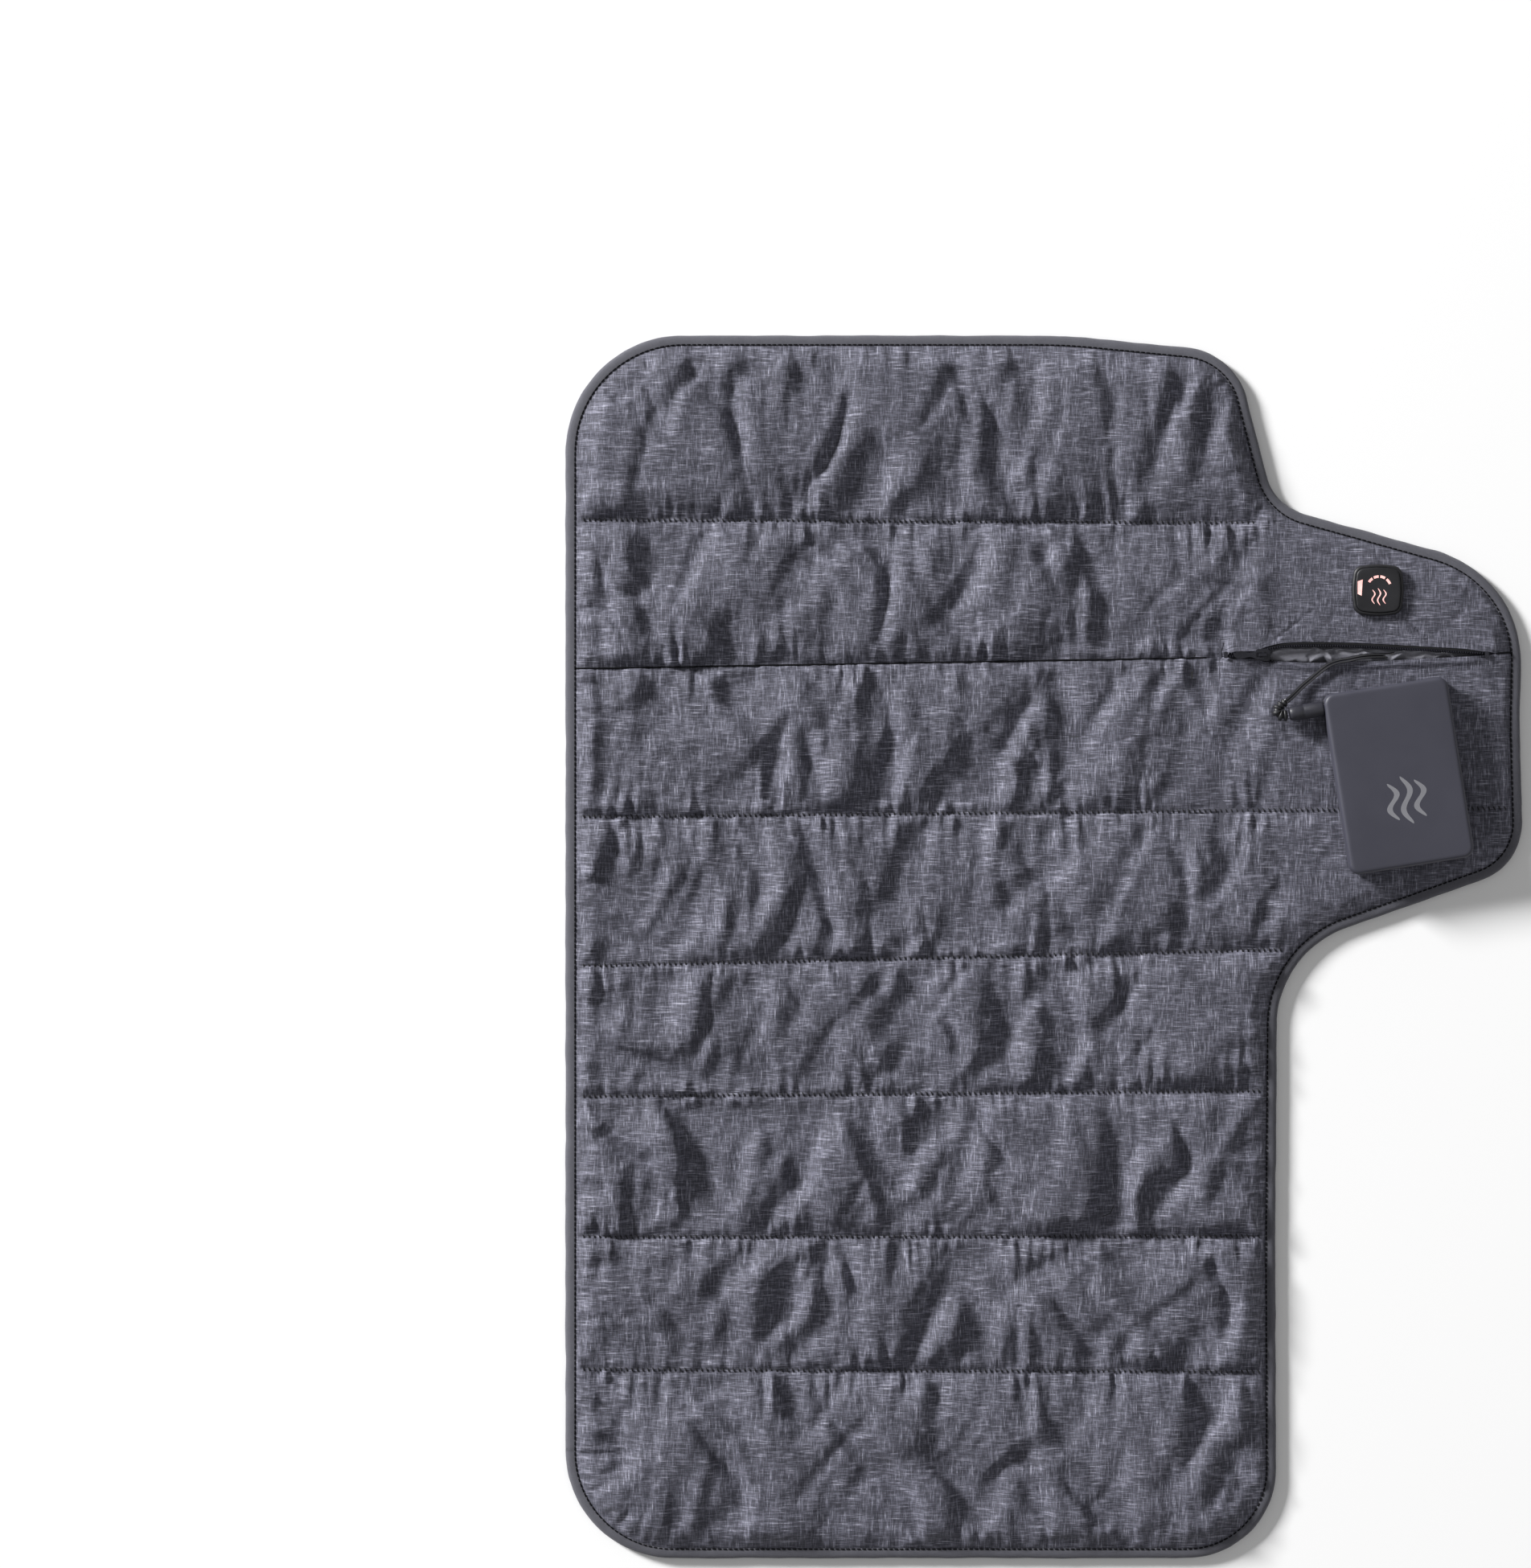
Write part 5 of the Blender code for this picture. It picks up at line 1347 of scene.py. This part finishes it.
def make_moulded(name, dark, pale, roughness, grain=900.0, depth=0.00004, metallic=0.0,
                 specular=0.5, coat=0.0, cloud_size=60.0):
    """Moulded plastic, rubber, film or metal with a fine grain and slight wear of its gloss."""
    made, tree, shader = new_material(name, {
        "Metallic": metallic, "Specular IOR Level": specular, "Coat Weight": coat,
    })
    source = in_object(tree)
    cloud = cells_noise(source, cloud_size, 4)
    drive(shader.inputs["Base Color"], cloud, [(0.3, dark), (0.7, pale)])
    worn = cells_noise(source, cloud_size * 3, 5, 0.6)
    most, least = min(roughness + 0.1, 1.0), max(roughness - 0.08, 0.02)
    drive(shader.inputs["Roughness"], worn, [(0.3, least), (0.75, most)])
    bump(shader, cells_noise(source, grain), depth)
    return made


def make_lit():
    """Pale pink light showing through a translucent mark."""
    made, tree, shader = new_material("lit_mark", {"Emission Strength": 0.45, "Roughness": 0.4})
    glow = cells_noise(in_object(tree), 400)
    for socket, dim, bright in (
        ("Base Color", (0.85, 0.42, 0.40), (0.98, 0.60, 0.56)),
        ("Emission Color", (0.90, 0.45, 0.42), (1.0, 0.62, 0.58)),
    ):
        drive(shader.inputs[socket], glow, [(0.3, dim), (0.7, bright)])
    return made


def make_board():
    """Green solder mask with faint copper tracks under it."""
    made, tree, shader = new_material("circuit_board", {"Roughness": 0.35})
    tracks = node(
        tree, "ShaderNodeTexBrick",
        {"Vector": in_object(tree), "Scale": 260.0, "Color1": (0.02, 0.16, 0.07, 1),
         "Color2": (0.02, 0.13, 0.06, 1), "Mortar": (0.05, 0.26, 0.12, 1), "Mortar Size": 0.03},
    )
    tree.links.new(tracks.outputs["Color"], shader.inputs["Base Color"])
    bump(shader, tracks.outputs["Fac"], 0.00005)
    return made


def make_film():
    """Amber heater film with darker printed bars."""
    made, tree, shader = new_material("heater_film", {"Roughness": 0.32})
    inputs = {"Vector": in_object(tree), "Scale": 22.0, "Distortion": 0.6}
    bars = node(tree, "ShaderNodeTexWave", inputs, bands_direction="Y").outputs["Fac"]
    stops = [(0.25, (0.12, 0.07, 0.02)), (0.4, (0.55, 0.36, 0.12))]
    drive(shader.inputs["Base Color"], bars, stops)
    bump(shader, bars, 0.0001)
    return made


def make_floor_material():
    """A matt floor, white with the faintest clouds."""
    made, tree, shader = new_material("pale_floor", {"Roughness": 0.9, "Specular IOR Level": 0.1})
    cloud = cells_noise(in_object(tree), 0.8)
    drive(shader.inputs["Base Color"], cloud, [(0.3, 0.95), (0.7, 0.97)])
    return made


# The woven and moulded looks take a dark and a pale colour, here (grey, blue) or a full one.
MATERIALS = {
    "heather": make_heather(),
    "satin": make_woven("satin_lining", (0.050, 0.070), (0.084, 0.112), 0.40,
                        0.35 * MM, sheen=0.04, specular=0.45, crease=0.0012),
    "liner": make_woven("satin_pocket", (0.13, 0.155), (0.21, 0.245), 0.42,
                        0.35 * MM, sheen=0.1, specular=0.5, crease=0.0004),
    "binding": make_woven("binding_tape", (0.078, 0.095), (0.112, 0.133), 0.62,
                          0.5 * MM, sheen=0.15, crease=0.0003),
    "tape": make_woven("zip_tape", (0.010, 0.012), (0.022, 0.025), 0.8, 0.6 * MM),
    "thread": make_moulded("dark_thread", (0.008, 0.011), (0.02, 0.025), 0.7,
                           2400.0, 0.00003),
    # seam: near-black thread that carries painted shade, the dark line at the binding's edge and
    # along the panel seam
    "seam": make_moulded("seam_shadow_thread", (0.004, 0.005), (0.009, 0.011), 0.85,
                         2400.0, 0.00003, specular=0.1),
    "coil": make_moulded("zip_nylon", (0.005, 0.009), (0.010, 0.017), 0.6,
                         specular=0.25),
    "slider": make_moulded("black_enamel", (0.014, 0.019), (0.034, 0.044), 0.26,
                           metallic=0.5),
    "silicone": make_moulded("black_rubber", (0.007, 0.009), (0.015, 0.018), 0.48,
                             1400.0, 0.00003),
    "wire": make_moulded("wire_jacket", (0.006, 0.009), (0.014, 0.02), 0.2,
                         700.0, 0.00001, specular=0.9, coat=1.0),
    "plug": make_moulded("plug_rubber", (0.017, 0.024), (0.028, 0.038), 0.45,
                         900.0, 0.00003),
    "plastic": make_moulded("black_plastic", (0.015, 0.017), (0.03, 0.033), 0.5),
    "case": make_moulded("soft_touch", (0.041, 0.058), (0.049, 0.068), 0.56,
                         1600.0, 0.00003, cloud_size=25.0),
    "sign": make_moulded("printed_sign", (0.19, 0.21), (0.23, 0.25), 0.6),
    "metal": make_moulded("plated_metal", (0.68, 0.69), (0.8, 0.81), 0.25,
                          1200.0, 0.00001, metallic=1.0),
    "cutoff": make_moulded("pale_cutoff", (0.5, 0.48), (0.62, 0.6), 0.45),
    "cell": make_moulded("foil_pouch", (0.55, 0.56, 0.59), (0.68, 0.69, 0.72), 0.35,
                         300.0, 0.0001, metallic=0.7),
    "carbon": make_moulded("carbon_wire", (0.012, 0.013), (0.028, 0.03), 0.6,
                           1800.0, 0.00005),
    "light": make_lit(),
    "board": make_board(),
    "heater": make_film(),
}


def dress(piece, material_name):
    """Gives a piece its material."""
    piece.data.materials.clear()
    piece.data.materials.append(MATERIALS[material_name])


floor.data.materials.append(make_floor_material())
for piece, look, slot_name in [
    (lining, "satin", "satin"),
    (binding, "binding", "binding"),
    (edge_stitches, "seam", "binding"),
    (panel_seam, "seam", "heather"),
    (liners[0], "liner", "satin"),
    (liners[1], "satin", "satin"),
    (bezel, "silicone", "silicone"),
    (cap, "silicone", "silicone"),
    (marks, "light", "light"),
    (battery_top, "case", "case"),
    (battery_base, "case", "case"),
    (battery_mark, "sign", "case"),
    (lead, "wire", "wire"),
    (boot, "silicone", "silicone"),
    (plug, "plug", "silicone"),
]:
    dress(piece, look)
for piece in front_panels:
    dress(piece, "heather")
for piece in seam_stitches:
    dress(piece, "thread")
for piece in coils:
    dress(piece, "coil")
for piece in tapes:
    dress(piece, "tape")

# The frame's own nodes that stay in view get a finish by their slot.
for part in frame["record"]["subparts"]:
    name = part["node"]
    slot_name = part["material_slot"]
    obj = frame["nodes"][name]
    if name.startswith("zip_stop"):
        slot_name = "slider"
    if slot_name in MATERIALS and not obj.hide_render:
        for material_slot in obj.material_slots:
            material_slot.material = MATERIALS[slot_name]
